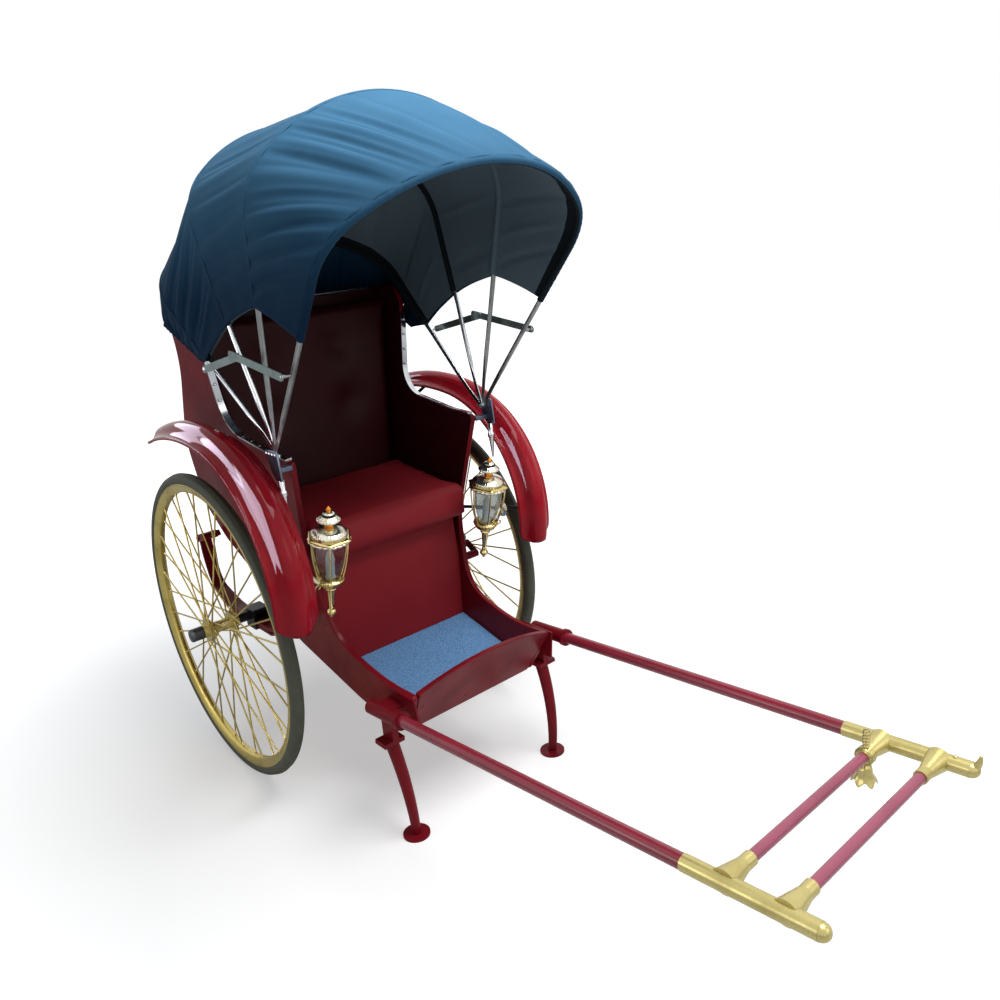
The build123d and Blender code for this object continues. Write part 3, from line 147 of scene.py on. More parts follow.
world = bpy.data.worlds.new("studio_world")
scene.world = world
world.use_nodes = True
sky = world.node_tree
sky.nodes.clear()
rays = add(sky, "LightPath").outputs
mirrored = fed(sky, "Math", rays["Is Camera Ray"], rays["Is Glossy Ray"], operation="MAXIMUM")
seen = fed(sky, "Math", mirrored, rays["Is Transmission Ray"], operation="MAXIMUM")
room_light = add(sky, "Background", Color=(0.88, 0.94, 1.0, 1.0), Strength=0.25)
white_room = add(sky, "Background", Color=(1.0, 1.0, 1.0, 1.0), Strength=1.0)
add(sky, "OutputWorld", Surface=fed(sky, "MixShader", seen, room_light.outputs[0], white_room.outputs[0]))

# The floor is lit like a pale floor; to the camera it brightens with distance until it meets the white backdrop.
floor_paint = bpy.data.materials.new("studio_floor")
floor_paint.use_nodes = True
paint = floor_paint.node_tree
paint.nodes.clear()
far = add(paint, "VectorMath", operation="LENGTH", Vector=add(paint, "TexCoord").outputs["Object"])
fade = add(paint, "MapRange", Value=far.outputs["Value"], From_Min=0.9, From_Max=3.2, To_Min=0.36, To_Max=1.0)
to_camera = add(paint, "LightPath").outputs["Is Camera Ray"]
glow = add(paint, "Emission", Strength=fed(paint, "Math", to_camera, fade.outputs["Result"], operation="MULTIPLY"))
pale = add(paint, "BsdfDiffuse", Color=(0.82, 0.82, 0.82, 1.0))
add(paint, "OutputMaterial", Surface=fed(paint, "AddShader", pale.outputs[0], glow.outputs[0]))
FLOOR_HALF = 14.0
floor_mesh = bpy.data.meshes.new("studio_floor")
floor_mesh.from_pydata([(-FLOOR_HALF, -FLOOR_HALF, 0), (FLOOR_HALF, -FLOOR_HALF, 0), (FLOOR_HALF, FLOOR_HALF, 0),
                        (-FLOOR_HALF, FLOOR_HALF, 0)], [], [(0, 1, 2, 3)])
floor_mesh.materials.append(floor_paint)
studio_floor = placed("studio_floor", floor_mesh)


# Tub: side boards, dash, floor, back and seat boards of wood, sprayed in dark red lacquer.
# The boards are the frame's own pieces with their sharp edges eased, as sanding leaves them.
def new_finish(name):
    """New material, its nodes and its main shader."""
    made = bpy.data.materials.new(name)
    made.use_nodes = True
    return made, made.node_tree, made.node_tree.nodes["Principled BSDF"]


def on_object(tree):
    """Object coordinates, which stay with a piece when its body moves."""
    return add(tree, "TexCoord").outputs["Object"]


def noise(tree, **settings):
    """Noise between 0 and 1 on Object coordinates."""
    return add(tree, "TexNoise", Vector=on_object(tree), **settings).outputs["Fac"]


def ramp(tree, share, *stops):
    """Colour of a share on a ramp of (place, colour) stops."""
    node = add(tree, "ValToRGB", Fac=share)
    elements = node.color_ramp.elements
    for place, shade in stops[1:-1]:
        elements.new(place).color = shade
    for element, (place, shade) in ((elements[0], stops[0]), (elements[-1], stops[-1])):
        element.position, element.color = place, shade
    return node.outputs["Color"]


def between(tree, share, low, high):
    """Number that runs from low to high as share runs from 0 to 1."""
    return add(tree, "MapRange", Value=share, To_Min=low, To_Max=high).outputs["Result"]


def height_share(tree, low, high):
    """Share that eases from 0 to 1 between two heights above the ground."""
    parts = add(tree, "SeparateXYZ", Vector=on_object(tree))
    return add(tree, "MapRange", interpolation_type="SMOOTHSTEP", Value=parts.outputs["Z"], From_Min=low,
               From_Max=high).outputs["Result"]


def blend_colour(tree, share, first, second):
    """Colour between two others; each of the three is a value or a socket."""
    node = add(tree, "Mix", data_type="RGBA")
    for number, value in ((0, share), (6, first), (7, second)):
        put(node.inputs[number], value)
    return node.outputs[2]


def relief(tree, height, strength, depth):
    """Normal tilted by a height map that is depth metres deep."""
    return add(tree, "Bump", Height=height, Strength=strength, Distance=depth).outputs["Normal"]


def ageing(name, detail, coarseness, start, end, fine_scale):
    """Large noise, cut off at start and end, takes clean colour and gloss to dull; fine noise is the height."""
    group = bpy.data.node_groups.new(name, "ShaderNodeTree")
    for label, way, kind in (("Colour", "INPUT", "Color"), ("Dull colour", "INPUT", "Color"),
                             ("Scale", "INPUT", "Float"), ("Gloss roughness", "INPUT", "Float"),
                             ("Dull roughness", "INPUT", "Float"), ("Colour", "OUTPUT", "Color"),
                             ("Roughness", "OUTPUT", "Float"), ("Height", "OUTPUT", "Float")):
        group.interface.new_socket(label, in_out=way, socket_type="NodeSocket" + kind)
    given = group.nodes.new("NodeGroupInput").outputs
    stain = noise(group, Scale=given["Scale"], Detail=detail, Roughness=coarseness)
    patch = ramp(group, stain, (start, colour(0, 0, 0)), (end, colour(255, 255, 255)))
    fill(group.nodes.new("NodeGroupOutput"),
         Colour=blend_colour(group, patch, given["Colour"], given["Dull colour"]),
         Roughness=between(group, patch, given["Gloss roughness"], given["Dull roughness"]),
         Height=noise(group, Scale=fine_scale, Detail=2.0))
    return group


def aged(name, effect, clean, dull, gloss, dulled, scale, strength, depth, **settings):
    """Finish that an ageing effect takes from clean to dull in patches, with its fine relief."""
    made, tree, shader = new_finish(name)
    age = add(tree, "Group", node_tree=effect, Colour=clean, Dull_colour=dull, Scale=scale, Gloss_roughness=gloss,
              Dull_roughness=dulled).outputs
    fill(shader, Base_Color=age["Colour"], Roughness=age["Roughness"],
         Normal=relief(tree, age["Height"], strength, depth), **settings)
    return made


# Lacquer: colour drifts slowly, fine dust dulls it in patches, and the spray leaves a slight orange peel.
lacquer_age = ageing("lacquer_age", 5.0, 0.6, 0.38, 0.72, 55.0)


def lacquered(name, clean, dull, gloss, dulled, scale=6.0, peel_depth=0.0006, coat=0.05, mirror=0.16):
    """Lacquer from its clean and dull colours and how rough each is."""
    return aged(name, lacquer_age, clean, dull, gloss, dulled, scale, 0.35, peel_depth, Specular_IOR_Level=mirror,
                Coat_Weight=coat, Coat_Roughness=0.12)


red_lacquer = lacquered("red_lacquer", colour(126, 19, 30), colour(96, 15, 25), 0.26, 0.42, mirror=0.10)


def body_of_node(node):
    """Name of the body that carries a node of the frame."""
    bodies = frame["record"]["behaviour"]["bodies"]
    return next(name for name, nodes in bodies.items() if node in nodes)


def shade_by_angle(piece, degrees):
    """Smooth shading with sharp edges kept above an angle."""
    mesh = piece.data
    mesh.polygons.foreach_set("use_smooth", np.ones(len(mesh.polygons), dtype=bool))
    work = bmesh.new()
    work.from_mesh(mesh)
    limit = math.radians(degrees)
    for edge in work.edges:
        edge.smooth = len(edge.link_faces) == 2 and edge.calc_face_angle(0.0) < limit
    work.to_mesh(mesh)
    work.free()


def round_edges(piece, ease):
    """Bevel of three steps, as wide as ease, on the sharp edges of a piece."""
    rounding = piece.modifiers.new("eased_edges", "BEVEL")
    rounding.width = ease
    rounding.segments = 3
    return rounding


def painted(finish, *nodes):
    """Gives its finish to each of the frame's own pieces that are kept as they are."""
    for node in nodes:
        mesh = frame["nodes"][node].data
        mesh.materials.clear()
        mesh.materials.append(finish)


def eased_copy(node, finish, ease, name):
    """Copy of a frame piece with merged corners, flat faces made whole and its edges rounded by ease."""
    mesh = frame["nodes"][node].data.copy()
    work = bmesh.new()
    work.from_mesh(mesh)
    bmesh.ops.remove_doubles(work, verts=work.verts, dist=1e-6)
    bmesh.ops.dissolve_limit(work, angle_limit=math.radians(0.6), verts=work.verts, edges=work.edges)
    work.to_mesh(mesh)
    work.free()
    mesh.materials.clear()
    mesh.materials.append(finish)
    piece = placed(name, mesh)
    rounding = round_edges(piece, ease)
    rounding.limit_method = "ANGLE"
    rounding.angle_limit = math.radians(35.0)
    shade_by_angle(piece, 35.0)
    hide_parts(node)
    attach(piece, body_of_node(node))
    return piece


def second_finish(piece, finish, chosen):
    """Gives the chosen faces of a piece another finish."""
    piece.data.materials.append(finish)
    piece.data.polygons.foreach_set("material_index", np.asarray(chosen).astype(np.int32))


# Painted shade inside the tub: the lacquer colour eases to a dark red above the seat, painted in for the little light
# that comes there.
SHADE_FROM, SHADE_FULL = 0.55, 0.78
shade_painted_lacquer = lacquered("red_lacquer_with_painted_shade", colour(56, 7, 14), colour(42, 6, 12), 0.34, 0.5)
tree = shade_painted_lacquer.node_tree
shader = tree.nodes["Principled BSDF"]
dark_red = shader.inputs["Base Color"].links[0].from_socket
in_shade = height_share(tree, SHADE_FROM, SHADE_FULL)
fill(shader, Base_Color=blend_colour(tree, in_shade, colour(112, 17, 27), dark_red))
for board, ease in (("side_panels", 0.003), ("dash_board", 0.003), ("back_panel", 0.0015), ("floor_board", 0.001)):
    dressed = eased_copy(board, red_lacquer, ease, board + "_dressed")
    faces = dressed.data.polygons
    # The inner faces of the side boards and the forward face of the back panel take the lacquer with painted shade.
    if board == "side_panels":
        second_finish(dressed, shade_painted_lacquer, [face.center[0] * face.normal[0] < -0.1 for face in faces])
    if board == "back_panel":
        second_finish(dressed, shade_painted_lacquer, [face.normal[1] < -0.5 for face in faces])
painted(red_lacquer, "frame_rails", "frame_crossmembers", "seat_board", "shaft_sockets", "legs", "leaf_springs",
        "spring_hangers")


# Edge strips: half-round nickel beads pinned along the top edges of both side boards,
# from the front of the arm up to the top of the wing, with a row of small round nail heads.
metal_wear = ageing("metal_wear", 7.0, 0.68, 0.46, 0.78, 420.0)


def worn_metal(name, bright, tarnish, gloss, dull, scale=14.0, metallic=1.0):
    """Metal finish that tarnishes in patches, with fine scratches."""
    return aged(name, metal_wear, bright, tarnish, gloss, dull, scale, 0.25, 0.00015, Metallic=metallic)


nickel = worn_metal("bright_nickel", colour(222, 226, 230), colour(160, 166, 170), 0.18, 0.34)


def skin(name, points, finish, body, ring=False, loop=False, ends=False, outward=True):
    """Mesh through a grid of points (along, across, xyz): ring closes it across, loop along, ends fill both ends."""
    along, across = points.shape[:2]
    rows = np.arange(along if loop else along - 1)
    columns = np.arange(across if ring else across - 1)
    i, j = [part.ravel() for part in np.meshgrid(rows, columns, indexing="ij")]
    i_next, j_next = (i + 1) % along, (j + 1) % across
    faces = np.stack([i * across + j, i_next * across + j, i_next * across + j_next, i * across + j_next], axis=1)
    faces = [tuple(face) for face in faces.tolist()]
    if ends:
        faces.append(tuple(range(across)))
        faces.append(tuple(range((along - 1) * across, along * across))[::-1])
    mesh = bpy.data.meshes.new(name)
    mesh.from_pydata(points.reshape(-1, 3).tolist(), [], faces)
    run = np.linalg.norm(np.diff(points, axis=0, append=points[:1]), axis=2).mean(axis=1)
    rise = np.linalg.norm(np.diff(points, axis=1, append=points[:, :1]), axis=2).mean(axis=0)
    u = np.concatenate([[0.0], np.cumsum(run)])
    v = np.concatenate([[0.0], np.cumsum(rise)])
    uv = np.zeros((len(mesh.loops), 2))
    for corner, (i_corner, j_corner) in enumerate(((i, j), (i + 1, j), (i + 1, j + 1), (i, j + 1))):
        uv[corner:len(i) * 4:4] = np.stack([u[i_corner], v[j_corner]], axis=1)
    mesh.uv_layers.new(name="metres").data.foreach_set("uv", uv.ravel())
    if outward:
        work = bmesh.new()
        work.from_mesh(mesh)
        bmesh.ops.remove_doubles(work, verts=work.verts, dist=1e-7)
        bmesh.ops.recalc_face_normals(work, faces=work.faces)
        work.to_mesh(mesh)
        work.free()
    mesh.polygons.foreach_set("use_smooth", np.ones(len(mesh.polygons), dtype=bool))
    mesh.materials.append(finish)
    piece = placed(name, mesh)
    if body:
        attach(piece, body)
    return piece


def rod(name, points, finish, body):
    """Closed bar through a grid of points, with both ends filled."""
    return skin(name, points, finish, body, ring=True, ends=True)


def unit(vectors):
    """Vectors brought to length one."""
    return vectors / np.linalg.norm(vectors, axis=-1, keepdims=True)


def carried(profile, line, up, scale=None):
    """Profile (side, up) carried along a line: each point is the line's plus side and up times the profile."""
    line = np.asarray(line, float)
    ahead = unit(np.gradient(line, axis=0))
    side = unit(np.cross(ahead, np.broadcast_to(np.asarray(up, float), line.shape)))
    top = np.cross(side, ahead)
    grow = np.ones(len(line)) if scale is None else np.asarray(scale)
    across = profile[None, :, 0, None] * side[:, None] + profile[None, :, 1, None] * top[:, None]
    return line[:, None] + grow[:, None, None] * across


def joined(pieces, name):
    """One object from several that share a body and a finish."""
    first = pieces[0]
    with bpy.context.temp_override(active_object=first, selected_editable_objects=pieces, object=first):
        bpy.ops.object.join()
    first.name = name
    return first


# The strip on top of the back is placed from the middle of the axle, which is the middle of the wheels.
painted(nickel, "edge_trims")
tyre_low, tyre_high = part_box("tyre_right")
AXLE = np.array([0.0, (tyre_low[1] + tyre_high[1]) / 2.0, (tyre_low[2] + tyre_high[2]) / 2.0])
STRIP_HALF, STRIP_Y, STRIP_Z, BEAD_HALF, BEAD_RISE = 0.318, 0.1135, 0.8885, 0.0065, 0.0045
t = np.linspace(-1.0, 1.0, 40)
top_strip = np.stack([STRIP_HALF * t, AXLE[1] + STRIP_Y + 0.0 * t, AXLE[2] + STRIP_Z + 0.0 * t], axis=1)
half_round = np.array([(BEAD_HALF * math.cos(a), BEAD_RISE * math.sin(a)) for a in np.linspace(0.0, np.pi, 9)])
rod("back_top_strip", carried(half_round, top_strip, (0.0, 0.0, 1.0)), nickel, "chassis")


def lathe(profile, count, base, tip):
    """Profile (radius, height) turned round the line from base to tip."""
    base = np.asarray(base, float)
    axis = unit(np.asarray(tip, float) - base)
    side = unit(np.cross(axis, [0.3, 0.9, 0.2]))
    a = np.linspace(0.0, 2.0 * np.pi, count, endpoint=False)
    ring = np.cos(a)[None, :, None] * side + np.sin(a)[None, :, None] * np.cross(axis, side)
    return base + profile[:, 1, None, None] * axis + profile[:, 0, None, None] * ring


def round_head(name, place, way, radius, finish, body):
    """Domed bolt or nail head on a face, standing out along a direction."""
    t = np.linspace(0.0, np.pi / 2.0, 6)
    dome = np.stack([radius * np.cos(t), 0.55 * radius * np.sin(t)], axis=1)
    dome[-1, 0] = 0.0
    profile = np.concatenate([[[0.0, -0.0010], [radius, -0.0010]], dome])
    place = np.asarray(place, float)
    return skin(name, lathe(profile, 12, place, place + np.asarray(way, float)), finish, body, ring=True)


# Nails along the arm and up the wing: place behind and above the axle, and the way that the edge looks there.
SIDES = ((-1, "right"), (1, "left"))
TUB_LOW_HALF, TUB_LOW_Z, TUB_FLARE = 0.222, -0.160, 0.118
NAIL_R, NAIL_IN, NAIL_OUT, NAIL_STEP = 0.0042, 0.008, 0.0048, 0.045
ARM_NAILS = [(-0.2700 + NAIL_STEP * k, 0.5344 + 0.0071 * k, -0.156, 0.988) for k in range(4)]
WING_NAILS = [(-0.0482 + 0.0014 * k, 0.655 + NAIL_STEP * k, -1.0, 0.03) for k in range(5)]
for side, label in SIDES:
    studs = []
    for y, z, way_y, way_z in ARM_NAILS + WING_NAILS:
        place = (side * (TUB_LOW_HALF + TUB_FLARE * (z - TUB_LOW_Z) - NAIL_IN), AXLE[1] + y + NAIL_OUT * way_y,
                 AXLE[2] + z + NAIL_OUT * way_z)
        studs.append(round_head("stud", place, (0.0, way_y, way_z), NAIL_R, nickel, "chassis"))
    joined(studs, "edge_studs_" + label)


# Floor carpet: short looped pile glued to the floor boards.
# The pile is real relief, one small random tuft per grid point, and its colour is a mix of blue and pale yarns.
carpet_low, carpet_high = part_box("floor_carpet")
carpet_pile, tree, shader = new_finish("carpet_pile")
yarn = noise(tree, Scale=430.0, Detail=3.0, Roughness=0.75)
shades = ramp(tree, yarn, (0.36, colour(48, 82, 126)), (0.5, colour(104, 156, 208)), (0.66, colour(150, 182, 214)))
fill(shader, Base_Color=shades, Roughness=0.95, Specular_IOR_Level=0.1, Normal=relief(tree, yarn, 0.8, 0.0012))


def coordinates(piece):
    """Vertex places as an array."""
    found = np.zeros(len(piece.data.vertices) * 3)
    piece.data.vertices.foreach_get("co", found)
    return found.reshape(-1, 3)


# The pile is as wide as the boards at its front and back ends; its rim is pressed down over three tufts.
ROWS, COLUMNS, RIM_TUFTS = 150, 220, 3.0
PILE_LOW, PILE_RANDOM, RIM_DROP, PILE_INSET = 0.0012, 0.0011, 0.004, 0.001
corners = coordinates(frame["nodes"]["floor_carpet"])
front = corners[corners[:, 1] < carpet_low[1] + 0.02]
back = corners[corners[:, 1] > carpet_high[1] - 0.004]
t = np.linspace(0.0, 1.0, ROWS)[:, None]
x_share = np.linspace(-1.0, 1.0, COLUMNS)[None, :]
from_rim = np.minimum(np.minimum(t, 1.0 - t) * ROWS, (1.0 - np.abs(x_share)) * COLUMNS / 2.0)
edge = np.minimum(1.0, from_rim / RIM_TUFTS)
tufts = np.random.default_rng(4).random((ROWS, COLUMNS))
pile_height = edge * (PILE_LOW + PILE_RANDOM * tufts) - RIM_DROP * (1.0 - edge)
x = x_share * ((1.0 - t) * np.abs(front[:, 0]).max() + t * np.abs(back[:, 0]).max())
y = (carpet_low[1] + PILE_INSET) * (1.0 - t) + (carpet_high[1] - PILE_INSET) * t + 0.0 * x
z = front[:, 2].max() * (1.0 - t) + back[:, 2].max() * t + pile_height
carpet = skin("carpet_pile", np.stack([x, y, z], axis=2), carpet_pile, "chassis", outward=False)
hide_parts("floor_carpet")


# Seat and back cushions: foam pads under dark red leather, glued down at their edges.
# Each is the frame's pad blown up a little by a cloth simulation; four dimples tuft the back.
def leather(name, dark, light):
    """Grained leather between two shades."""
    made, tree, shader = new_finish(name)
    grain = add(tree, "TexVoronoi", feature="DISTANCE_TO_EDGE", Scale=330.0, Vector=on_object(tree))
    pebble = add(tree, "MapRange", From_Max=0.35, Value=grain.outputs["Distance"])
    age = noise(tree, Scale=5.0, Detail=6.0, Roughness=0.6)
    fill(shader, Base_Color=blend_colour(tree, age, dark, light), Roughness=between(tree, age, 0.4, 0.58),
         Normal=relief(tree, pebble.outputs["Result"], 0.3, 0.0004), Specular_IOR_Level=0.14)
    return made


hide = leather("red_leather", colour(130, 27, 36), colour(152, 40, 47))
# Painted shade: the back cushion's leather is painted far darker than the seat's, for the shade under the hood.
shaded_back_hide = leather("back_leather_painted_shade", colour(42, 5, 10), colour(58, 9, 15))


def apply_modifiers(piece):
    """Bakes the modifiers into the mesh."""
    graph = bpy.context.evaluated_depsgraph_get()
    baked = bpy.data.meshes.new_from_object(piece.evaluated_get(graph))
    piece.modifiers.clear()
    piece.data = baked


def stuffed(node, name, finish, swell, cap, shrink, dimples=()):
    """Frame solid as a cushion: remeshed fine and swollen by air pressure as cloth; no point moves more than cap."""
    mesh = frame["nodes"][node].data.copy()
    work = bmesh.new()
    work.from_mesh(mesh)
    bmesh.ops.remove_doubles(work, verts=work.verts, dist=1e-6)
    middle = sum((vertex.co for vertex in work.verts), Vector()) / len(work.verts)
    size = np.array(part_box(node)[1]) - np.array(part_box(node)[0])
    for vertex in work.verts:
        vertex.co = middle + Vector((vertex.co - middle) * Vector(1.0 - 2.0 * shrink / size))
    work.to_mesh(mesh)
    work.free()
    mesh.materials.clear()
    mesh.materials.append(finish)
    pad = placed(name, mesh)
    even = pad.modifiers.new("even_faces", "REMESH")
    even.mode = "VOXEL"
    even.voxel_size = 0.006
    apply_modifiers(pad)
    before = coordinates(pad)
    air = pad.modifiers.new("air", "CLOTH")
    air.settings.use_pressure = True
    air.settings.uniform_pressure_force = swell
    air.settings.effector_weights.gravity = 0.0
    air.settings.quality = 5
    for step in range(1, 21):
        scene.frame_set(step)
    apply_modifiers(pad)
    scene.frame_set(1)
    move = coordinates(pad) - before
    length = np.linalg.norm(move, axis=1, keepdims=True)
    after = before + move * np.minimum(1.0, cap / np.maximum(length, 1e-9))
    for place, depth, reach in dimples:
        away = np.linalg.norm(after - np.array(place), axis=1)
        after[:, 1] += depth * np.exp(-((away / reach) ** 2))
    pad.data.vertices.foreach_set("co", after.ravel())
    pad.data.polygons.foreach_set("use_smooth", np.ones(len(pad.data.polygons), dtype=bool))
    pad.data.update()
    finer = pad.modifiers.new("smooth_skin", "SUBSURF")
    finer.levels = finer.render_levels = 1
    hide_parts(node)
    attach(pad, "chassis")
    return pad


DIMPLE_DEPTH, DIMPLE_REACH = 0.022, 0.05
DIMPLES = [((side * x, AXLE[1] + y, z), DIMPLE_DEPTH, DIMPLE_REACH)
           for x, y, z in ((0.120, 0.052, 1.20), (0.130, 0.045, 1.02)) for side in (-1.0, 1.0)]
stuffed("seat_cushion", "seat_pad", hide, 3.0, 0.008, 0.004)
stuffed("back_cushion", "back_pad", shaded_back_hide, 3.0, 0.010, 0.004, DIMPLES)
seat_front = eased_copy("seat_front_panel", hide, 0.002, "seat_front_cover")


# Fenders: pressed steel strips of ogee section on two arcs, with a rolled bead round the whole edge.
# The toe is rounded like a tongue and the tail ends square over the back of the wheel.
def circle(radius, count=16):
    """Round profile."""
    a = np.linspace(0.0, 2.0 * np.pi, count, endpoint=False)
    return radius * np.stack([np.cos(a), np.sin(a)], axis=1)


def give_wall(piece, name, thickness, offset=-1.0):
    """Turns a bare surface into a sheet that grows inwards at an offset of -1 and outwards at 1."""
    wall = piece.modifiers.new(name, "SOLIDIFY")
    wall.thickness = thickness
    wall.offset = offset


fender_red = lacquered("fender_enamel", colour(142, 20, 32), colour(128, 18, 30), 0.06, 0.08, scale=3.0,
                       peel_depth=0.00005, coat=0.0, mirror=0.12)
black_enamel = lacquered("black_enamel", colour(26, 26, 28), colour(40, 40, 42), 0.3, 0.5, scale=14.0)
FENDER_X, FENDER_HALF, FENDER_RISE, FENDER_T, TOE_R, TAIL_R = 0.402, 0.057, 0.035, 0.003, 0.030, 0.009
BEAD_R, BEAD_IN = 0.0030, 0.0014
# Each arc: its centre behind and above the axle, its radius, its start and end in degrees, and the points on it.
FENDER_ARCS = [(-0.140, 0.2122, 0.360, 192.0, 100.0, 74), (-0.0740, -0.1621, 0.740, 100.0, 72.0, 44)]


def fender_line():
    """Side view of the fender's edge along its arcs: places from the axle, and directions away from the wheel."""
    places, outward = [], []
    for y, z, radius, start, end, count in FENDER_ARCS:
        a = np.radians(np.linspace(start, end, count))
        away = np.stack([np.cos(a), np.sin(a)], axis=1)
        places.append(np.array([y, z]) + radius * away)
        outward.append(away)
    return np.concatenate([places[0], places[1][1:]]), np.concatenate([outward[0], outward[1][1:]])


def fender_skin(side):
    """Ogee across the strip: a round crown and hollow flanks; the width eases round the corners of both ends."""
    line, out = fender_line()
    run = np.concatenate([[0.0], np.cumsum(np.linalg.norm(np.diff(line, axis=0), axis=1))])
    toe = np.clip((TOE_R - run) / TOE_R, 0.0, 1.0)
    tail = np.clip((TAIL_R - run[-1] + run) / TAIL_R, 0.0, 1.0)
    width = FENDER_HALF - TOE_R * (1.0 - np.sqrt(1.0 - toe ** 2)) - TAIL_R * (1.0 - np.sqrt(1.0 - tail ** 2))
    across = np.linspace(-1.0, 1.0, 41)
    bend = (FENDER_HALF ** 2 + FENDER_RISE ** 2) / (4.0 * FENDER_RISE)
    x = across[None, :] * width[:, None]
    flank = FENDER_HALF - np.abs(x)
    crown = FENDER_RISE - bend + np.sqrt(np.maximum(bend ** 2 - x ** 2, 0.0))
    hollow = bend - np.sqrt(np.maximum(bend ** 2 - flank ** 2, 0.0))
    lift = np.where(np.abs(x) < FENDER_HALF / 2.0, crown, hollow)
    y = AXLE[1] + line[:, None, 0] + out[:, None, 0] * lift
    z = AXLE[2] + line[:, None, 1] + out[:, None, 1] * lift
    return np.stack([side * (FENDER_X + x), y, z], axis=2), out


for side, label in SIDES:
    points, out = fender_skin(side)
    shell = skin("fender_" + label, points[:, ::side], fender_red, "chassis", outward=False)
    give_wall(shell, "sheet_steel", FENDER_T)
    edge = np.concatenate([points[:, 0], points[-1, 1:-1], points[::-1, -1], points[0, -2:0:-1]])
    ends = len(points[0]) - 2
    edge_out = np.concatenate([out, out[-1:].repeat(ends, 0), out[::-1], out[:1].repeat(ends, 0)])
    away = np.concatenate([np.zeros((len(edge_out), 1)), edge_out], axis=1)
    bead = carried(circle(BEAD_R, 10), edge - away * BEAD_IN, away)
    skin("fender_bead_" + label, bead, fender_red, "chassis", ring=True, loop=True)
    fender_cards.objects.link(shell)
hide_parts("fenders")
painted(black_enamel, "fender_stays")


# Wheels: solid rubber tyres on gilt steel rims, with 36 laced wire spokes in brass nipples and a turned hub.
# The tyre has three shallow ribs round its tread; the rim is a rolled channel with a bright inner lip.
rubber, tree, shader = new_finish("tyre_rubber")
bloom = noise(tree, Scale=16.0, Detail=6.0, Roughness=0.65)
grit = noise(tree, Scale=700.0, Detail=2.0)
fill(shader, Base_Color=blend_colour(tree, bloom, colour(40, 42, 34), colour(84, 86, 70)),
     Roughness=between(tree, bloom, 0.55, 0.78), Normal=relief(tree, grit, 0.3, 0.0004))
gilt = worn_metal("gilt_metal", colour(208, 188, 108), colour(140, 116, 54), 0.24, 0.44, scale=9.0, metallic=0.8)
pale_gilt = worn_metal("pale_gilt", colour(208, 193, 126), colour(172, 156, 92), 0.26, 0.44, scale=9.0, metallic=0.55)
brass = worn_metal("polished_brass", colour(232, 210, 146), colour(158, 126, 66), 0.12, 0.28, scale=26.0)
dark_steel = worn_metal("dark_steel", colour(88, 92, 98), colour(52, 54, 58), 0.34, 0.5)
WHEEL_R, TYRE_R, TYRE_SEAT, RIB_RISE = 0.460, 0.019, 0.007, 0.0007
RIM_DEPTH, RIM_WIDTH, BED_HALF = 0.024, 0.034, 0.0165
RIM_OUT = WHEEL_R - 2.0 * TYRE_R + TYRE_SEAT
RIM_IN = RIM_OUT - RIM_DEPTH


def turned(profile, count, hub):
    """Profile (radius, x) turned round the axle line through a hub point."""
    a = np.linspace(0.0, 2.0 * np.pi, count, endpoint=False)
    r, x, a = profile[None, :, 0], profile[None, :, 1], a[:, None]
    return np.stack([hub[0] + x + 0.0 * a, hub[1] + r * np.sin(a), hub[2] - r * np.cos(a)], axis=2)


def tyre_profile():
    """Round section with three small ribs raised round the tread."""
    a = np.linspace(0.0, 2.0 * np.pi, 40, endpoint=False)
    tread = np.exp(-((np.angle(np.exp(1j * a)) / 0.75) ** 4))
    r = TYRE_R + RIB_RISE * (np.cos(9.0 * a) - 1.0) * tread
    return np.stack([WHEEL_R - TYRE_R + r * np.cos(a), r * np.sin(a)], axis=1)


def rim_profile():
    """Rolled channel: rounded shoulders at the tyre, sloping walls, and a narrow flat with a raised lip inside."""
    h = RIM_WIDTH / 2.0
    over = np.linspace(-BED_HALF, BED_HALF, 9)
    bed = np.stack([WHEEL_R - TYRE_R - np.sqrt(TYRE_R ** 2 - over ** 2) + 0.0001, over], axis=1)
    side_a = np.array([[RIM_OUT + 0.0004, h - 0.0004], [RIM_OUT - 0.0016, h + 0.0002], [RIM_OUT - 0.004, h - 0.0006],
                       [RIM_IN + 0.009, h - 0.0045], [RIM_IN + 0.004, h - 0.0078], [RIM_IN + 0.001, h - 0.0098]])
    flat = np.array([[RIM_IN, h - 0.0125], [RIM_IN + 0.0004, 0.0], [RIM_IN, -h + 0.0125]])
    side_b = side_a[::-1] * np.array([1.0, -1.0])
    return np.concatenate([bed, side_a, flat, side_b])


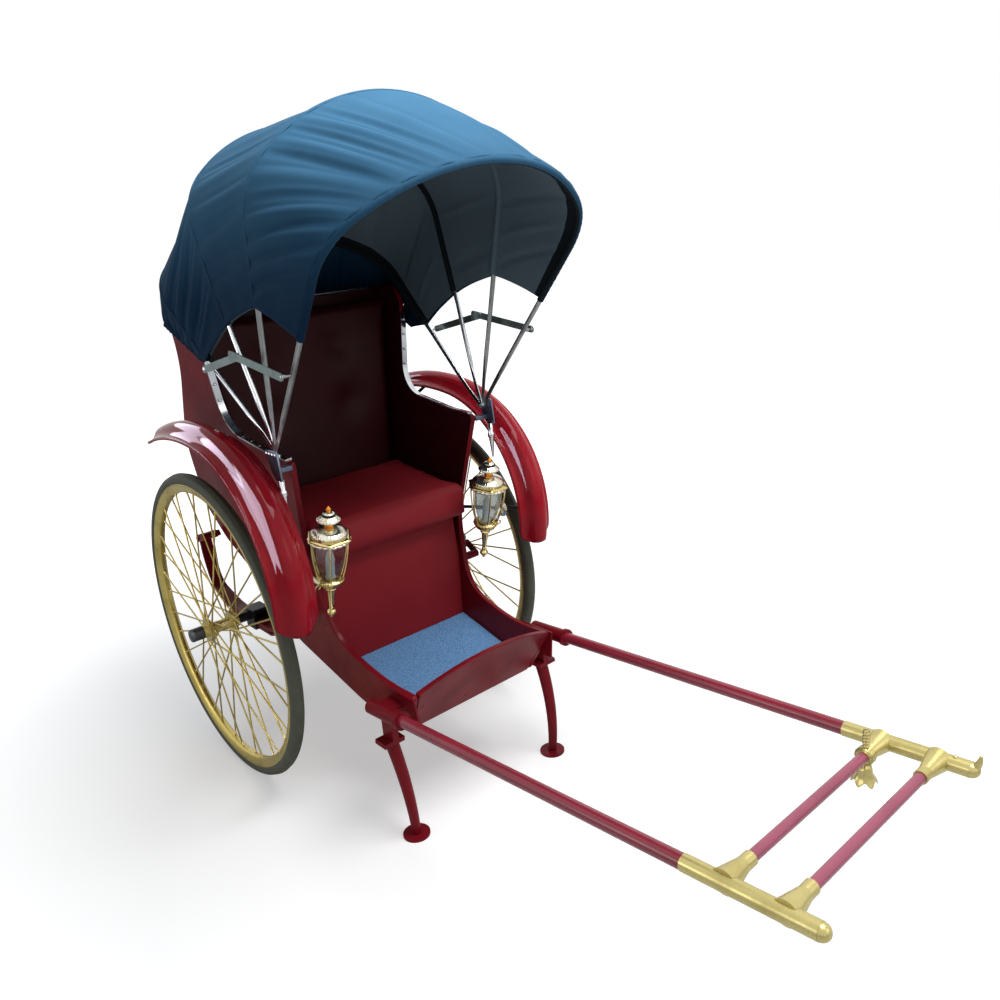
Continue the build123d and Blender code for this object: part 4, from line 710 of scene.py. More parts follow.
# Half of the spokes of each flange lean forwards, half backwards. NIPPLE and HUB_CAP are (radius, length) profiles.
SPOKES, CROSSING, FLANGE_R, FLANGE_X, STAGGER, HOLE_IN, RIM_HOLE_X = 18, 68.0, 0.032, 0.032, 0.007, 0.004, 0.004
NIPPLE = np.array([(0.0, 0.0), (0.0032, 0.0), (0.0036, 0.002), (0.0032, 0.004), (0.0026, 0.005), (0.0024, 0.015),
                   (0.0016, 0.016), (0.0, 0.016)])
HUB_CAP = np.array([(0.0188, 0.0540), (0.0192, 0.0560), (0.0188, 0.0800), (0.0192, 0.0815), (0.0190, 0.0880),
                    (0.0165, 0.0910), (0.0, 0.0916)])
for side, label in SIDES:
    hub = AXLE - np.array([side * (tyre_low[0] + tyre_high[0]) / 2.0, 0.0, 0.0])
    body = "wheel_" + label
    tyre = skin("tyre_ribbed_" + label, turned(tyre_profile(), 200, hub), rubber, body, ring=True, loop=True)
    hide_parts("tyre_" + label)
    rim = skin("rim_rolled_" + label, turned(rim_profile(), 200, hub), gilt, body, ring=True, loop=True)
    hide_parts("rim_" + label)
    nipples = []
    for n in range(SPOKES):
        for face in (-1, 1):
            turn = 1 if n % 2 == 0 else -1
            at_rim = math.radians(n * 360.0 / SPOKES + (180.0 / SPOKES if face > 0 else 0.0))
            at_hub = at_rim + math.radians(CROSSING) * turn
            flange_x = face * (FLANGE_X + (STAGGER if turn > 0 else 0.0))
            hole_r = FLANGE_R - HOLE_IN
            inner = np.array([flange_x, hole_r * math.sin(at_hub), -hole_r * math.cos(at_hub)])
            outer = np.array([face * RIM_HOLE_X, RIM_IN * math.sin(at_rim), -RIM_IN * math.cos(at_rim)])
            points = lathe(NIPPLE, 10, hub + outer, hub + inner)
            nipples.append(skin("nipple", points, brass, body, ring=True))
    joined(nipples, "spoke_nipples_" + label)
    painted(gilt, "spokes_" + label)
    painted(pale_gilt, "hub_" + label)
    cap = lathe(HUB_CAP, 28, hub, hub + np.array([float(side), 0.0, 0.0]))
    skin("hub_cap_" + label, cap, dark_steel, body, ring=True)
painted(black_enamel, "axle", "spring_clamps")


# Shafts: painted ash poles with gilt brass ends, two red crossbars in gilt sleeves, and a small hand bell.
pole_red = lacquered("pole_enamel", colour(146, 40, 58), colour(120, 34, 48), 0.2, 0.36, scale=5.0, coat=0.3,
                     mirror=0.4)
bar_pink = lacquered("crossbar_enamel", colour(170, 84, 108), colour(140, 64, 84), 0.2, 0.36, scale=5.0, coat=0.3,
                     mirror=0.4)
painted(pole_red, "shafts")
painted(bar_pink, "crossbars")
painted(pale_gilt, "shaft_ends", "crossbar_fittings", "hand_bell")


def eased(share):
    """Smooth step from 0 to 1."""
    share = np.clip(share, 0.0, 1.0)
    return share * share * (3.0 - 2.0 * share)


# The bell hangs from a collar on the rear crossbar: a ringed grip above and a flared mouth cut into leaves below.
bell_low, bell_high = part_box("hand_bell")
bell_at = np.array([(bell_low[0] + bell_high[0]) / 2.0, (bell_low[1] + bell_high[1]) / 2.0, 0.0])
GRIP_LONG, GRIP_R, GRIP_RINGS, RING_RISE = 0.044, 0.0056, 6, 0.0012
t = np.linspace(0.0, 1.0, 44)
grip_r = np.where(t < 0.97, GRIP_R + RING_RISE * np.cos(t * 2.0 * np.pi * GRIP_RINGS) + 0.0014 * t, 0.0005)
grip = lathe(np.stack([grip_r, t * GRIP_LONG], axis=1), 20, bell_at + [0.0, 0.0, bell_high[2] - GRIP_LONG],
             bell_at + [0.0, 0.0, bell_high[2]])
COLLAR_HALF, COLLAR_R, COLLAR_UP = 0.0070, 0.0182, 0.060
collar_x = np.linspace(-COLLAR_HALF, COLLAR_HALF, 9)
collar_r = COLLAR_R + RING_RISE * np.cos(collar_x / COLLAR_HALF * np.pi * 2.0)
collar_profile = np.stack([np.concatenate([[0.0], collar_r, [0.0]]), collar_x[[0, *range(9), -1]]], axis=1)
collar_at = bell_at + [0.0, 0.0, bell_low[2] + COLLAR_UP]
collar = lathe(collar_profile, 28, collar_at, collar_at + [1.0, 0.0, 0.0])

# The mouth widens fast under its neck and again at the lip, where six leaves reach further out and down.
NECK_R, SHOULDER, FLARE, MOUTH_TOP, MOUTH_LONG, LEAVES, LEAF_OUT, LEAF_DOWN = (
    0.0055, 0.0085, 0.0085, 0.046, 0.036, 6.0, 0.0035, 0.010)
turn = np.linspace(0.0, 2.0 * np.pi, 96, endpoint=False)
t = np.linspace(0.0, 1.0, 24)[:, None]
leaf = 0.5 + 0.5 * np.cos(LEAVES * turn)[None, :]
mouth_r = NECK_R + SHOULDER * eased(t / 0.35) + (FLARE + LEAF_OUT * leaf) * t ** 3
mouth_z = bell_low[2] + MOUTH_TOP - t * (MOUTH_LONG + LEAF_DOWN * leaf)
mouth = np.stack([bell_at[0] + mouth_r * np.cos(turn), bell_at[1] + mouth_r * np.sin(turn), mouth_z], axis=2)
bell = skin("bell_mouth", mouth, pale_gilt, "chassis", ring=True, outward=False)
give_wall(bell, "bell_wall", 0.0012)
for name, points in (("bell_grip", grip), ("bell_collar", collar)):
    skin(name, points, pale_gilt, "chassis", ring=True)
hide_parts("hand_bell")

# The left shaft ends in a small horn bent upwards and a nub behind it.
tip_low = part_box("shaft_ends")[0]
SHAFT_X, HORN_R, HORN_LONG, HORN_HOOK, HORN_THIN = 0.268, 0.0078, 0.030, 0.008, 0.72
NUB_BACK, NUB_UP, NUB_R = 0.030, 0.0145, 0.0045
end = np.array([SHAFT_X, tip_low[1] + 0.0155, AXLE[2] + 0.002])
t = np.linspace(0.0, 1.0, 16)
horn = end + np.stack([0.0 * t, -0.006 - HORN_HOOK * np.sin(t * 1.7), 0.006 + HORN_LONG * t], axis=1)
horn_points = carried(circle(HORN_R, 14), horn, (1.0, 0.0, 0.0), 1.0 - HORN_THIN * t ** 1.5)
rod("shaft_horn", horn_points, pale_gilt, "chassis")
round_head("shaft_nub", end + [0.0, NUB_BACK, NUB_UP], (0.0, 0.0, 1.0), NUB_R, pale_gilt, "chassis")


# Lamps: carriage lamps of pale brass with six bulging panes, a six-cornered roof plate and stacked domes.
# Turned parts are profiles of radius and height from the ball at the foot; some are fluted round their axis.
lamp_pane, tree, shader = new_finish("lamp_pane")
ripple = noise(tree, Scale=85.0, Detail=2.0)
fill(shader, Base_Color=(0.86, 0.90, 0.89, 1.0), Transmission_Weight=1.0, IOR=1.45,
     Roughness=between(tree, ripple, 0.02, 0.16), Normal=relief(tree, ripple, 0.6, 0.0012))
lamp_silver = worn_metal("lamp_silver", colour(236, 232, 214), colour(176, 164, 122), 0.12, 0.28, scale=40.0)
orange_brass = worn_metal("orange_brass", colour(232, 150, 62), colour(168, 92, 36), 0.18, 0.34, scale=40.0)
candle_wax, tree, shader = new_finish("candle_wax")
fill(shader, Base_Color=colour(206, 212, 212), Roughness=0.45)
# A lamp's foot and top are placed from the axle. A part has a finish, flutes and a (radius, height) profile.
LAMP_BASE, LAMP_TIP, LAMP_X = (-0.4111, 0.0972), (-0.4825, 0.4194), 0.264
turn = np.linspace(0.0, 2.0 * np.pi, 96, endpoint=False)
plain = np.ones(96)
six_sided = math.cos(math.pi / 6.0) / np.cos(np.mod(turn, math.pi / 3.0) - math.pi / 6.0)
LAMP_PARTS = [
    ("stem", brass, plain, [
        (0.0, 0.0), (0.0040, 0.0005), (0.0055, 0.0040), (0.0040, 0.0070), (0.0095, 0.0090), (0.0125, 0.0140),
        (0.0118, 0.0190), (0.0080, 0.0235), (0.0062, 0.0255), (0.0080, 0.0280), (0.0062, 0.0305),
        (0.0068, 0.0450), (0.0085, 0.0620), (0.0104, 0.0790), (0.0112, 0.0850), (0.0145, 0.0870),
        (0.0145, 0.0900), (0.0118, 0.0920), (0.0124, 0.0950), (0.0, 0.0950)]),
    ("cup", brass, 1.0 + 0.028 * np.abs(np.sin(12.0 * turn)), [
        (0.0, 0.0935), (0.0120, 0.0940), (0.0200, 0.0970), (0.0275, 0.1030), (0.0315, 0.1095), (0.0330, 0.1140),
        (0.0355, 0.1155), (0.0362, 0.1185), (0.0352, 0.1220), (0.0, 0.1222)]),
    ("gallery", lamp_silver, 1.0 + 0.030 * np.cos(24.0 * turn), [
        (0.0470, 0.2320), (0.0520, 0.2330), (0.0545, 0.2370), (0.0530, 0.2405), (0.0480, 0.2410),
        (0.0465, 0.2360)]),
    ("roof_plate", brass, six_sided, [
        (0.0, 0.2400), (0.0560, 0.2400), (0.0605, 0.2420), (0.0605, 0.2445), (0.0550, 0.2470), (0.0470, 0.2495),
        (0.0, 0.2500)]),
    ("lower_dome", lamp_silver, 1.0 + 0.022 * np.cos(32.0 * turn), [
        (0.0, 0.2480), (0.0462, 0.2485), (0.0440, 0.2525), (0.0468, 0.2545), (0.0435, 0.2575), (0.0400, 0.2620),
        (0.0320, 0.2665), (0.0220, 0.2700), (0.0160, 0.2725), (0.0, 0.2740)]),
    ("neck_ball", orange_brass, plain, [
        (0.0, 0.2720), (0.0125, 0.2740), (0.0105, 0.2762), (0.0132, 0.2790), (0.0145, 0.2830), (0.0120, 0.2870),
        (0.0, 0.2885)]),
    ("upper_bell", lamp_silver, 1.0 + 0.020 * np.cos(20.0 * turn), [
        (0.0, 0.2870), (0.0240, 0.2890), (0.0300, 0.2915), (0.0306, 0.2945), (0.0262, 0.2980), (0.0200, 0.3020),
        (0.0178, 0.3050), (0.0, 0.3055)]),
    ("dark_ring", black_enamel, plain, [
        (0.0, 0.3040), (0.0178, 0.3042), (0.0188, 0.3062), (0.0175, 0.3084), (0.0, 0.3090)]),
    ("cap", lamp_silver, plain, [
        (0.0, 0.3078), (0.0166, 0.3084), (0.0148, 0.3118), (0.0085, 0.3146), (0.0050, 0.3160), (0.0, 0.3165)]),
    ("finial", orange_brass, plain, [
        (0.0, 0.3150), (0.0042, 0.3155), (0.0068, 0.3180), (0.0073, 0.3215), (0.0052, 0.3245), (0.0030, 0.3265),
        (0.0024, 0.3290), (0.0, 0.3300)]),
    ("candle", candle_wax, plain, [
        (0.0, 0.1225), (0.0125, 0.1228), (0.0138, 0.1260), (0.0110, 0.1300), (0.0104, 0.1680), (0.0118, 0.1760),
        (0.0085, 0.1900), (0.0050, 0.2040), (0.0, 0.2070)]),
]
# Six bars bulge from the cup to the roof plate, and an S-shaped scroll stands at the outer side of the cup.
BAR_R, BAR_THIN, BAR_OUT, BAR_LEAN, BAR_BULGE = 0.0027, 0.18, 0.0315, 0.0200, 0.0058
BAR_LOW, BAR_LONG = 0.1190, 0.1215
WIRE_R, SCROLL_R, SCROLL_TURNS, SCROLL_OUT, SCROLL_UP = 0.0022, 0.0088, 1.5, 0.0450, 0.1030
for side, label in SIDES:
    base = AXLE + np.array([side * LAMP_X, *LAMP_BASE])
    rise = unit(AXLE + np.array([side * LAMP_X, *LAMP_TIP]) - base)
    ahead = np.cross(rise, [1.0, 0.0, 0.0])
    for part, finish, flute, profile in LAMP_PARTS:
        profile = np.array(profile)
        radius = profile[:, 0, None] * flute[None, :]
        ring = np.cos(turn)[:, None] * np.array([1.0, 0.0, 0.0]) + np.sin(turn)[:, None] * ahead
        points = base + profile[:, 1, None, None] * rise + radius[..., None] * ring
        turned_part = skin("lamp_" + part + "_" + label, points, finish, "chassis", ring=True,
                           loop=(part == "gallery"))
        if part == "stem":
            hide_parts("lamp_frames")
    bars = []
    t = np.linspace(0.0, 1.0, 22)
    for k in range(6):
        way = math.cos(k * math.pi / 3.0) * np.array([1.0, 0.0, 0.0]) + math.sin(k * math.pi / 3.0) * ahead
        out = BAR_OUT + BAR_LEAN * t + BAR_BULGE * 4.0 * t * (1.0 - t)
        bar = base + (BAR_LOW + BAR_LONG * t)[:, None] * rise + out[:, None] * way
        bar_points = carried(circle(BAR_R, 10), bar, way, 1.0 - BAR_THIN * np.sin(np.pi * t))
        bars.append(rod("bar", bar_points, brass, "chassis"))
    t = np.linspace(-1.0, 1.0, 60)
    curl = np.pi * SCROLL_TURNS * t
    curl_r = SCROLL_R * (1.0 - 0.62 * np.abs(t))
    outward = SCROLL_OUT + np.where(t > 0.0, 1.0, -1.0) * (curl_r * np.cos(curl) - SCROLL_R)
    height = SCROLL_UP + curl_r * np.sin(curl)
    scroll = base + height[:, None] * rise + outward[:, None] * np.array([float(side), 0.0, 0.0])
    bars.append(rod("scroll", carried(circle(WIRE_R, 8), scroll, ahead), brass, "chassis"))
    joined(bars, "lamp_bars_" + label)
painted(lamp_silver, "lamp_brackets")
painted(lamp_pane, "lamp_glass")


# Hood frame: two bright and two greyer bows of steel tube, folding stays of flat bar,
# and a fan-shaped bracket at each arm on which the bows turn.
chrome = worn_metal("bow_chrome", colour(224, 228, 232), colour(150, 154, 158), 0.12, 0.3, scale=11.0)
grey_tube = worn_metal("grey_tube", colour(158, 160, 160), colour(98, 100, 100), 0.28, 0.44, scale=11.0)
stay_steel = worn_metal("stay_steel", colour(148, 164, 162), colour(92, 102, 102), 0.32, 0.5, scale=16.0,
                        metallic=0.85)
bracket_steel = worn_metal("bracket_steel", colour(112, 124, 142), colour(66, 74, 88), 0.28, 0.46, scale=16.0,
                           metallic=0.85)
painted(stay_steel, "stay_rear_links", "stay_front_links")


def eased_box(name, place, size, ease, finish, body="chassis"):
    """Box with rounded edges round a place."""
    mesh = bpy.data.meshes.new(name)
    work = bmesh.new()
    bmesh.ops.create_cube(work, size=1.0)
    for vertex in work.verts:
        vertex.co = Vector(place) + vertex.co * Vector(size)
    work.to_mesh(mesh)
    work.free()
    mesh.materials.append(finish)
    piece = placed(name, mesh)
    round_edges(piece, ease)
    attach(piece, body)
    return piece


# FAN is the plate's outline (back, up) from the pivot; PLATE_LAYERS is its thickness with small chamfers (x, inset).
PIVOT_Y, PIVOT_Z, PLATE_X, PLATE_T = AXLE[1] - 0.385, 1.008, 0.3419, 0.0050
FAN = np.array([(-0.0310, 0.0150), (-0.0290, 0.0180), (0.0290, 0.0180), (0.0310, 0.0150), (0.0100, -0.0300),
                (-0.0050, -0.0540), (-0.0075, -0.0560), (-0.0345, -0.0560), (-0.0370, -0.0540), (-0.0350, -0.0300)])
PLATE_LAYERS = [(0.0, 0.0008), (0.0006, 0.0), (0.0044, 0.0), (PLATE_T, 0.0008)]
FOOT_X, FOOT_DOWN, BOLT_R, BOLT_UP, PIN_X = 0.322, 0.035, 0.0046, 0.0095, 0.3215
SPIKE_AHEAD, SPIKE_DOWN = 0.0210, 0.158
PIN = np.array([(0.0, 0.0), (0.0050, 0.0), (0.0050, 0.0235), (0.0, 0.0240)])
SPIKE = np.array([(0.0, 0.0), (0.0022, 0.0010), (0.0030, 0.0060), (0.0068, 0.0500), (0.0078, 0.0540),
                  (0.0068, 0.0575), (0.0098, 0.0620), (0.0108, 0.0680), (0.0098, 0.0740), (0.0072, 0.0780),
                  (0.0072, 0.1030), (0.0, 0.1040)])
for side, label in SIDES:
    middle = FAN.mean(axis=0)
    outlines = [[PIVOT_Y, PIVOT_Z] + middle + (FAN - middle) * (1.0 - inset / 0.03) for x, inset in PLATE_LAYERS]
    plate_points = np.stack([np.insert(outline, 0, side * (PLATE_X + x), axis=1)
                             for outline, (x, inset) in zip(outlines, PLATE_LAYERS)])
    plate = rod("bracket_plate_" + label, plate_points, bracket_steel, "chassis")
    shade_by_angle(plate, 30.0)
    if side < 0:
        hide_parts("hood_brackets")
    foot_at = (side * FOOT_X, PIVOT_Y + 0.002, PIVOT_Z - FOOT_DOWN)
    foot = eased_box("bracket_foot_" + label, foot_at, (0.046, 0.026, 0.012), 0.002, bracket_steel)
    for k, along_y in enumerate((-0.0220, -0.0075, 0.0075, 0.0220)):
        bolt_at = (side * (PLATE_X + PLATE_T), PIVOT_Y + along_y, PIVOT_Z + BOLT_UP)
        round_head("bracket_bolt_%s_%d" % (label, k), bolt_at, (side, 0.0, 0.0), BOLT_R, chrome, "chassis")
    pin_points = lathe(PIN, 16, (side * PIN_X, PIVOT_Y, PIVOT_Z), (side * (PIN_X + 1.0), PIVOT_Y, PIVOT_Z))
    skin("bracket_pin_" + label, pin_points, bracket_steel, "chassis", ring=True)
    spike_foot = np.array([side * (PLATE_X - 0.0015), PIVOT_Y - SPIKE_AHEAD, PIVOT_Z - SPIKE_DOWN])
    spike_points = lathe(SPIKE, 20, spike_foot, spike_foot + [0.0, 0.0, 1.0])
    skin("bracket_drop_" + label, spike_points, chrome, "chassis", ring=True)

# Rivets at the three joints of each folding stay, on the outer face of the flat bars.
# The two bars of a stay are each a little longer than half the span, so the middle joint stands above it.
BOW_ANGLES = {"rear": 139.0, "second": 107.0, "third": 78.0, "front": 49.5}
REACH_BACK, REACH_FRONT, LINK_RISE, RIVET_R, RIVET_OUT = 0.318, 0.288, 0.0034, 0.0066, 0.0002
link_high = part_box("stay_rear_links")[1]


def off_pivot(degrees, reach):
    """Side view (y, z) of points at distances from the pivot, in the plane of a bow at an angle above the front."""
    a = np.radians(degrees)
    return np.stack([PIVOT_Y - reach * np.cos(a), PIVOT_Z + reach * np.sin(a)], axis=-1)


at_rear, at_front = off_pivot(BOW_ANGLES["rear"], REACH_BACK), off_pivot(BOW_ANGLES["front"], REACH_FRONT)
span = at_front - at_rear
half_span = np.linalg.norm(span) / 2.0
above = math.sqrt((half_span + LINK_RISE) ** 2 - half_span ** 2)
at_middle = (at_rear + at_front) / 2.0 + above * np.array([-span[1], span[0]]) / (2.0 * half_span)
if at_middle[1] < (at_rear[1] + at_front[1]) / 2.0:
    at_middle = (at_rear + at_front) - at_middle
for side, label in SIDES:
    for name, place, body in (("rear", at_rear, "stay_rear"), ("middle", at_middle, "stay_rear"),
                              ("front", at_front, "stay_front")):
        round_head("stay_rivet_%s_%s" % (name, label), (side * (link_high[0] + RIVET_OUT), *place), (side, 0.0, 0.0),
                   RIVET_R, nickel, body)


# Hood: dark blue canvas stretched over the bows in three panels, each sewn to the next along a bow.
# A panel is straight between its bows, swollen a little, with the pull folds of the photo and a turned-up hem.
BOW_R, BOW_TOP, BOW_WIDE_AT, BOW_CORNER = 0.0065, 0.822, 0.560, 0.180
FOOT_HALF, SPREAD, LEG_END = 0.3331, 0.030, 0.15
BOW_HEMS = {"rear": 0.345, "second": 0.335, "third": 0.375, "front": 0.400}
ON_BOW, CLOTH_T = 0.0079, 0.0012


def along_line(points, count):
    """Points spaced evenly by length along a polyline."""
    points = np.asarray(points, float)
    length = np.concatenate([[0.0], np.cumsum(np.linalg.norm(np.diff(points, axis=0), axis=1))])
    places = np.linspace(0.0, length[-1], count)
    return np.stack([np.interp(places, length, points[:, k]) for k in range(points.shape[1])], axis=1)


def leg_x(rho):
    """Half width of a straight bow leg at a distance from the pivot."""
    return FOOT_HALF + SPREAD * rho / BOW_WIDE_AT


def bow_half(count=400):
    """Half of a bow from crown to LEG_END as (x, distance from the pivot): crown arc, corner arc, straight leg."""
    tilt = math.atan2(SPREAD, BOW_WIDE_AT)
    wide_x = FOOT_HALF + SPREAD
    cx, cy = wide_x - BOW_CORNER * math.cos(tilt), BOW_WIDE_AT + BOW_CORNER * math.sin(tilt)
    dy = cy - BOW_TOP
    crown_r = (BOW_CORNER ** 2 - cx ** 2 - dy ** 2) / (2.0 * (dy + BOW_CORNER))
    ky = BOW_TOP - crown_r
    meet = math.atan2(cy - ky, cx)
    a = np.linspace(math.pi / 2.0, meet, count)
    crown = np.stack([crown_r * np.cos(a), ky + crown_r * np.sin(a)], axis=1)
    b = np.linspace(meet, -tilt, count)
    corner = np.stack([cx + BOW_CORNER * np.cos(b), cy + BOW_CORNER * np.sin(b)], axis=1)
    leg = np.array([[wide_x, BOW_WIDE_AT], [leg_x(LEG_END), LEG_END]])
    return along_line(np.concatenate([crown, corner[1:], leg[1:]]), 1200)


half_bow = bow_half()
half_run = np.concatenate([[0.0], np.cumsum(np.linalg.norm(np.diff(half_bow, axis=0), axis=1))])
half_way = unit(np.gradient(half_bow, axis=0))
half_out = np.stack([-half_way[:, 1], half_way[:, 0]], axis=1)


def run_at(rho):
    """Length along the bow from its crown down to a distance from the pivot."""
    return np.interp(-np.asarray(rho, float), -half_bow[:, 1], half_run)


def on_bow(degrees, run, lift):
    """Points on a bow at signed lengths from its crown, lifted outwards in the bow's plane."""
    size = np.abs(run)
    side = np.sign(run)
    x = np.interp(size, half_run, half_bow[:, 0]) + lift * np.interp(size, half_run, half_out[:, 0])
    rho = np.interp(size, half_run, half_bow[:, 1]) + lift * np.interp(size, half_run, half_out[:, 1])
    return np.concatenate([(side * x)[..., None], off_pivot(degrees, rho)], axis=-1)


# Each leg leaves the straight line of its bow at LEG_TOP for its own lug; the lugs lie side by side on the pivot pin.
LEG_TOP, LEG_LOW, ROUND_FROM, FLAT_TO = 0.300, 0.075, 0.140, 0.085
LUG_X, LUG_STEP, LUG_T, LUG_WIDE, LUG_R, LUG_EDGE = 0.3282, 0.0038, 0.0016, 0.0063, 0.009, 0.0066
PIN_R, PIN_IN = 0.0042, 0.001


def flattened_tube(name, degrees, lug_x, finish, body):
    """Bow of round tube whose legs run straight to their lugs, flattened there and rounded at the end of each."""
    rho = np.concatenate([np.linspace(-0.0089, 0.0064, 14), np.linspace(0.0070, LEG_TOP, 36)])
    x = np.interp(rho, [LEG_LOW, LEG_TOP], [lug_x, leg_x(LEG_TOP)])
    leg = np.column_stack([x, off_pivot(degrees, rho)])
    run = np.linspace(-float(run_at(LEG_TOP)), float(run_at(LEG_TOP)), 160)[1:-1]
    line = np.concatenate([leg * [-1.0, 1.0, 1.0], on_bow(degrees, run, 0.0), leg[::-1]])
    far = np.concatenate([rho, np.full(len(run), LEG_TOP), rho[::-1]])
    thick = np.interp(far, [FLAT_TO, ROUND_FROM], [LUG_T, BOW_R])
    wide = np.interp(far, [FLAT_TO, ROUND_FROM], [LUG_WIDE, BOW_R])
    wide = np.where(far < LUG_EDGE, np.sqrt(np.clip(LUG_R ** 2 - far ** 2, 1e-8, None)), wide)
    square = np.interp(far, [FLAT_TO, ROUND_FROM], [0.35, 1.0])[:, None]
    turn = np.linspace(0.0, 2.0 * np.pi, 18, endpoint=False)[None, :]
    up = np.array([0.0, math.sin(math.radians(degrees)), math.cos(math.radians(degrees))])
    out = np.cross(unit(np.gradient(line, axis=0)), up)
    across = thick[:, None] * np.sign(np.cos(turn)) * np.abs(np.cos(turn)) ** square
    over = wide[:, None] * np.sign(np.sin(turn)) * np.abs(np.sin(turn)) ** square
    points = line[:, None] + across[..., None] * out[:, None] + over[..., None] * up
    bow = rod(name + "_tube", points, finish, body)
    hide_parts(name)


for name, number, body, finish in (("rear", 0, "chassis", chrome), ("second", 1, "bow_second", chrome),
                                   ("third", 2, "bow_third", grey_tube), ("front", 3, "bow_front", grey_tube)):
    flattened_tube("bow_" + name, BOW_ANGLES[name], LUG_X + LUG_STEP * number, finish, body)
for side, label in SIDES:
    for name, place, reach, body, finish in (("rear", at_rear, REACH_BACK, "chassis", chrome),
                                             ("front", at_front, REACH_FRONT, "bow_front", grey_tube)):
        line = np.linspace((side * leg_x(reach), *place), (side * (link_high[0] - PIN_IN), *place), 4)
        rod("stay_pin_%s_%s" % (name, label), carried(circle(PIN_R, 16), line, (0.0, 0.0, 1.0)), finish, body)


def swell_out(points):
    """Directions square to a grid of points, turned so that its middle looks up or back, out of the hood."""
    normal = unit(np.cross(np.gradient(points, axis=0), np.gradient(points, axis=1)))
    middle = normal[len(points) // 2, points.shape[1] // 2]
    return normal if middle[1] + middle[2] > 0.0 else -normal


# The canvas ripples everywhere a little; each pull fold has a crease beside its ridge, as shares of the ridge.
RIPPLE, CREASE_SHARE, CREASE_OFF, CREASE_WIDTH, HEM_WIDE, HEM_STEP = 0.0010, 0.45, 1.5, 0.42, 0.016, 0.002


def hood_panel(first, second, lift, swell, folds, along=52, across=300, hem_rise=0.005, turned_hem=0.0011):
    """Points of a panel: straight from bow to bow at equal lengths from the crown, plus swell, folds and hem."""
    s = np.linspace(0.0, 1.0, along)[:, None]
    u = np.linspace(-1.0, 1.0, across)[None, :]
    hem = run_at(BOW_HEMS[first]) * (1.0 - s) + run_at(BOW_HEMS[second]) * s - hem_rise * 4.0 * s * (1.0 - s)
    run = u * hem
    on_first, on_second = [on_bow(BOW_ANGLES[name], run, lift) for name in (first, second)]
    points = (1.0 - s)[..., None] * on_first + s[..., None] * on_second
    normal = swell_out(points)
    raised = swell * 4.0 * s * (1.0 - s) * np.clip(1.2 - np.abs(run) / 0.62, 0.0, 1.0)
    raised = raised + RIPPLE * np.sin(19.0 * run + 5.0 * s + 1.0) * np.sin(23.0 * run - 7.0 * s) * np.sin(np.pi * s)
    for start, end, width, height in folds:
        crest = start + (end - start) * s
        ridge = np.exp(-(((run - crest) / width) ** 2))
        crease = np.exp(-(((run - crest - CREASE_OFF * width) / (CREASE_WIDTH * width)) ** 2))
        along_fold = np.sin(np.pi * np.clip(s, 0.02, 0.98)) ** 0.6
        raised = raised + height * (ridge - CREASE_SHARE * crease) * along_fold
    raised = raised + turned_hem * eased((np.abs(run) - hem + HEM_WIDE) / HEM_STEP)
    return points + normal * raised[..., None]


def both_sides(rows, seed):
    """The folds read on the right side, and the same a little shifted and softened on the left side."""
    draw = np.random.default_rng(seed)
    near = [(-start, -end, width, height) for start, end, width, height in rows]
    far = []
    for start, end, width, height in rows:
        shift = draw.uniform(-0.02, 0.02)
        far.append((start + shift, end + shift, width * draw.uniform(0.9, 1.3), height * draw.uniform(0.6, 1.0)))
    return near + far


# The canvas is woven from the panel's own map in metres; its colour holds painted light and shade, deep blue below as
# painted shade and pale blue on top as painted light from above.
PAINTED_SHADE_BELOW, PAINTED_LIGHT_ABOVE = 1.34, 1.84
canvas, tree, shader = new_finish("blue_canvas")
metres = add(tree, "UVMap", uv_map="metres").outputs["UV"]
warp, weft = [add(tree, "TexWave", wave_type="BANDS", bands_direction=way, Scale=180.0, Distortion=0.4, Vector=metres)
              for way in ("X", "Y")]
thread = fed(tree, "Math", warp.outputs["Fac"], weft.outputs["Fac"], operation="MULTIPLY")
fade = noise(tree, Scale=3.2, Detail=7.0, Roughness=0.62)
# Painted shade low on the hood and painted light on its top, blended by height.
painted_shade_blue = blend_colour(tree, fade, colour(0, 26, 46), colour(4, 38, 64))
painted_light_blue = blend_colour(tree, fade, colour(56, 104, 138), colour(82, 132, 166))
painted_light_and_shade_blue = blend_colour(tree, height_share(tree, PAINTED_SHADE_BELOW, PAINTED_LIGHT_ABOVE), painted_shade_blue, painted_light_blue)
fleck = between(tree, noise(tree, Scale=240.0, Detail=3.0), 0.0, 0.12)
fill(shader, Base_Color=blend_colour(tree, fleck, painted_light_and_shade_blue, colour(40, 84, 118)),
     Roughness=between(tree, fade, 0.72, 0.86), Normal=relief(tree, thread, 0.35, 0.0005), Sheen_Weight=0.02,
     Sheen_Roughness=0.4, Specular_IOR_Level=0.07)


def felt_cloth(name, low_shade, high_shade):
    """Plain napped cloth between two shades."""
    made, tree, shader = new_finish(name)
    nap = noise(tree, Scale=300.0, Detail=4.0)
    fill(shader, Base_Color=blend_colour(tree, nap, low_shade, high_shade), Roughness=0.92, Specular_IOR_Level=0.15,
         Normal=relief(tree, nap, 0.3, 0.0004))
    return made


grey_lining = felt_cloth("grey_lining", colour(88, 106, 116), colour(112, 130, 140))
black_facing = felt_cloth("black_facing", colour(16, 22, 26), colour(34, 40, 44))


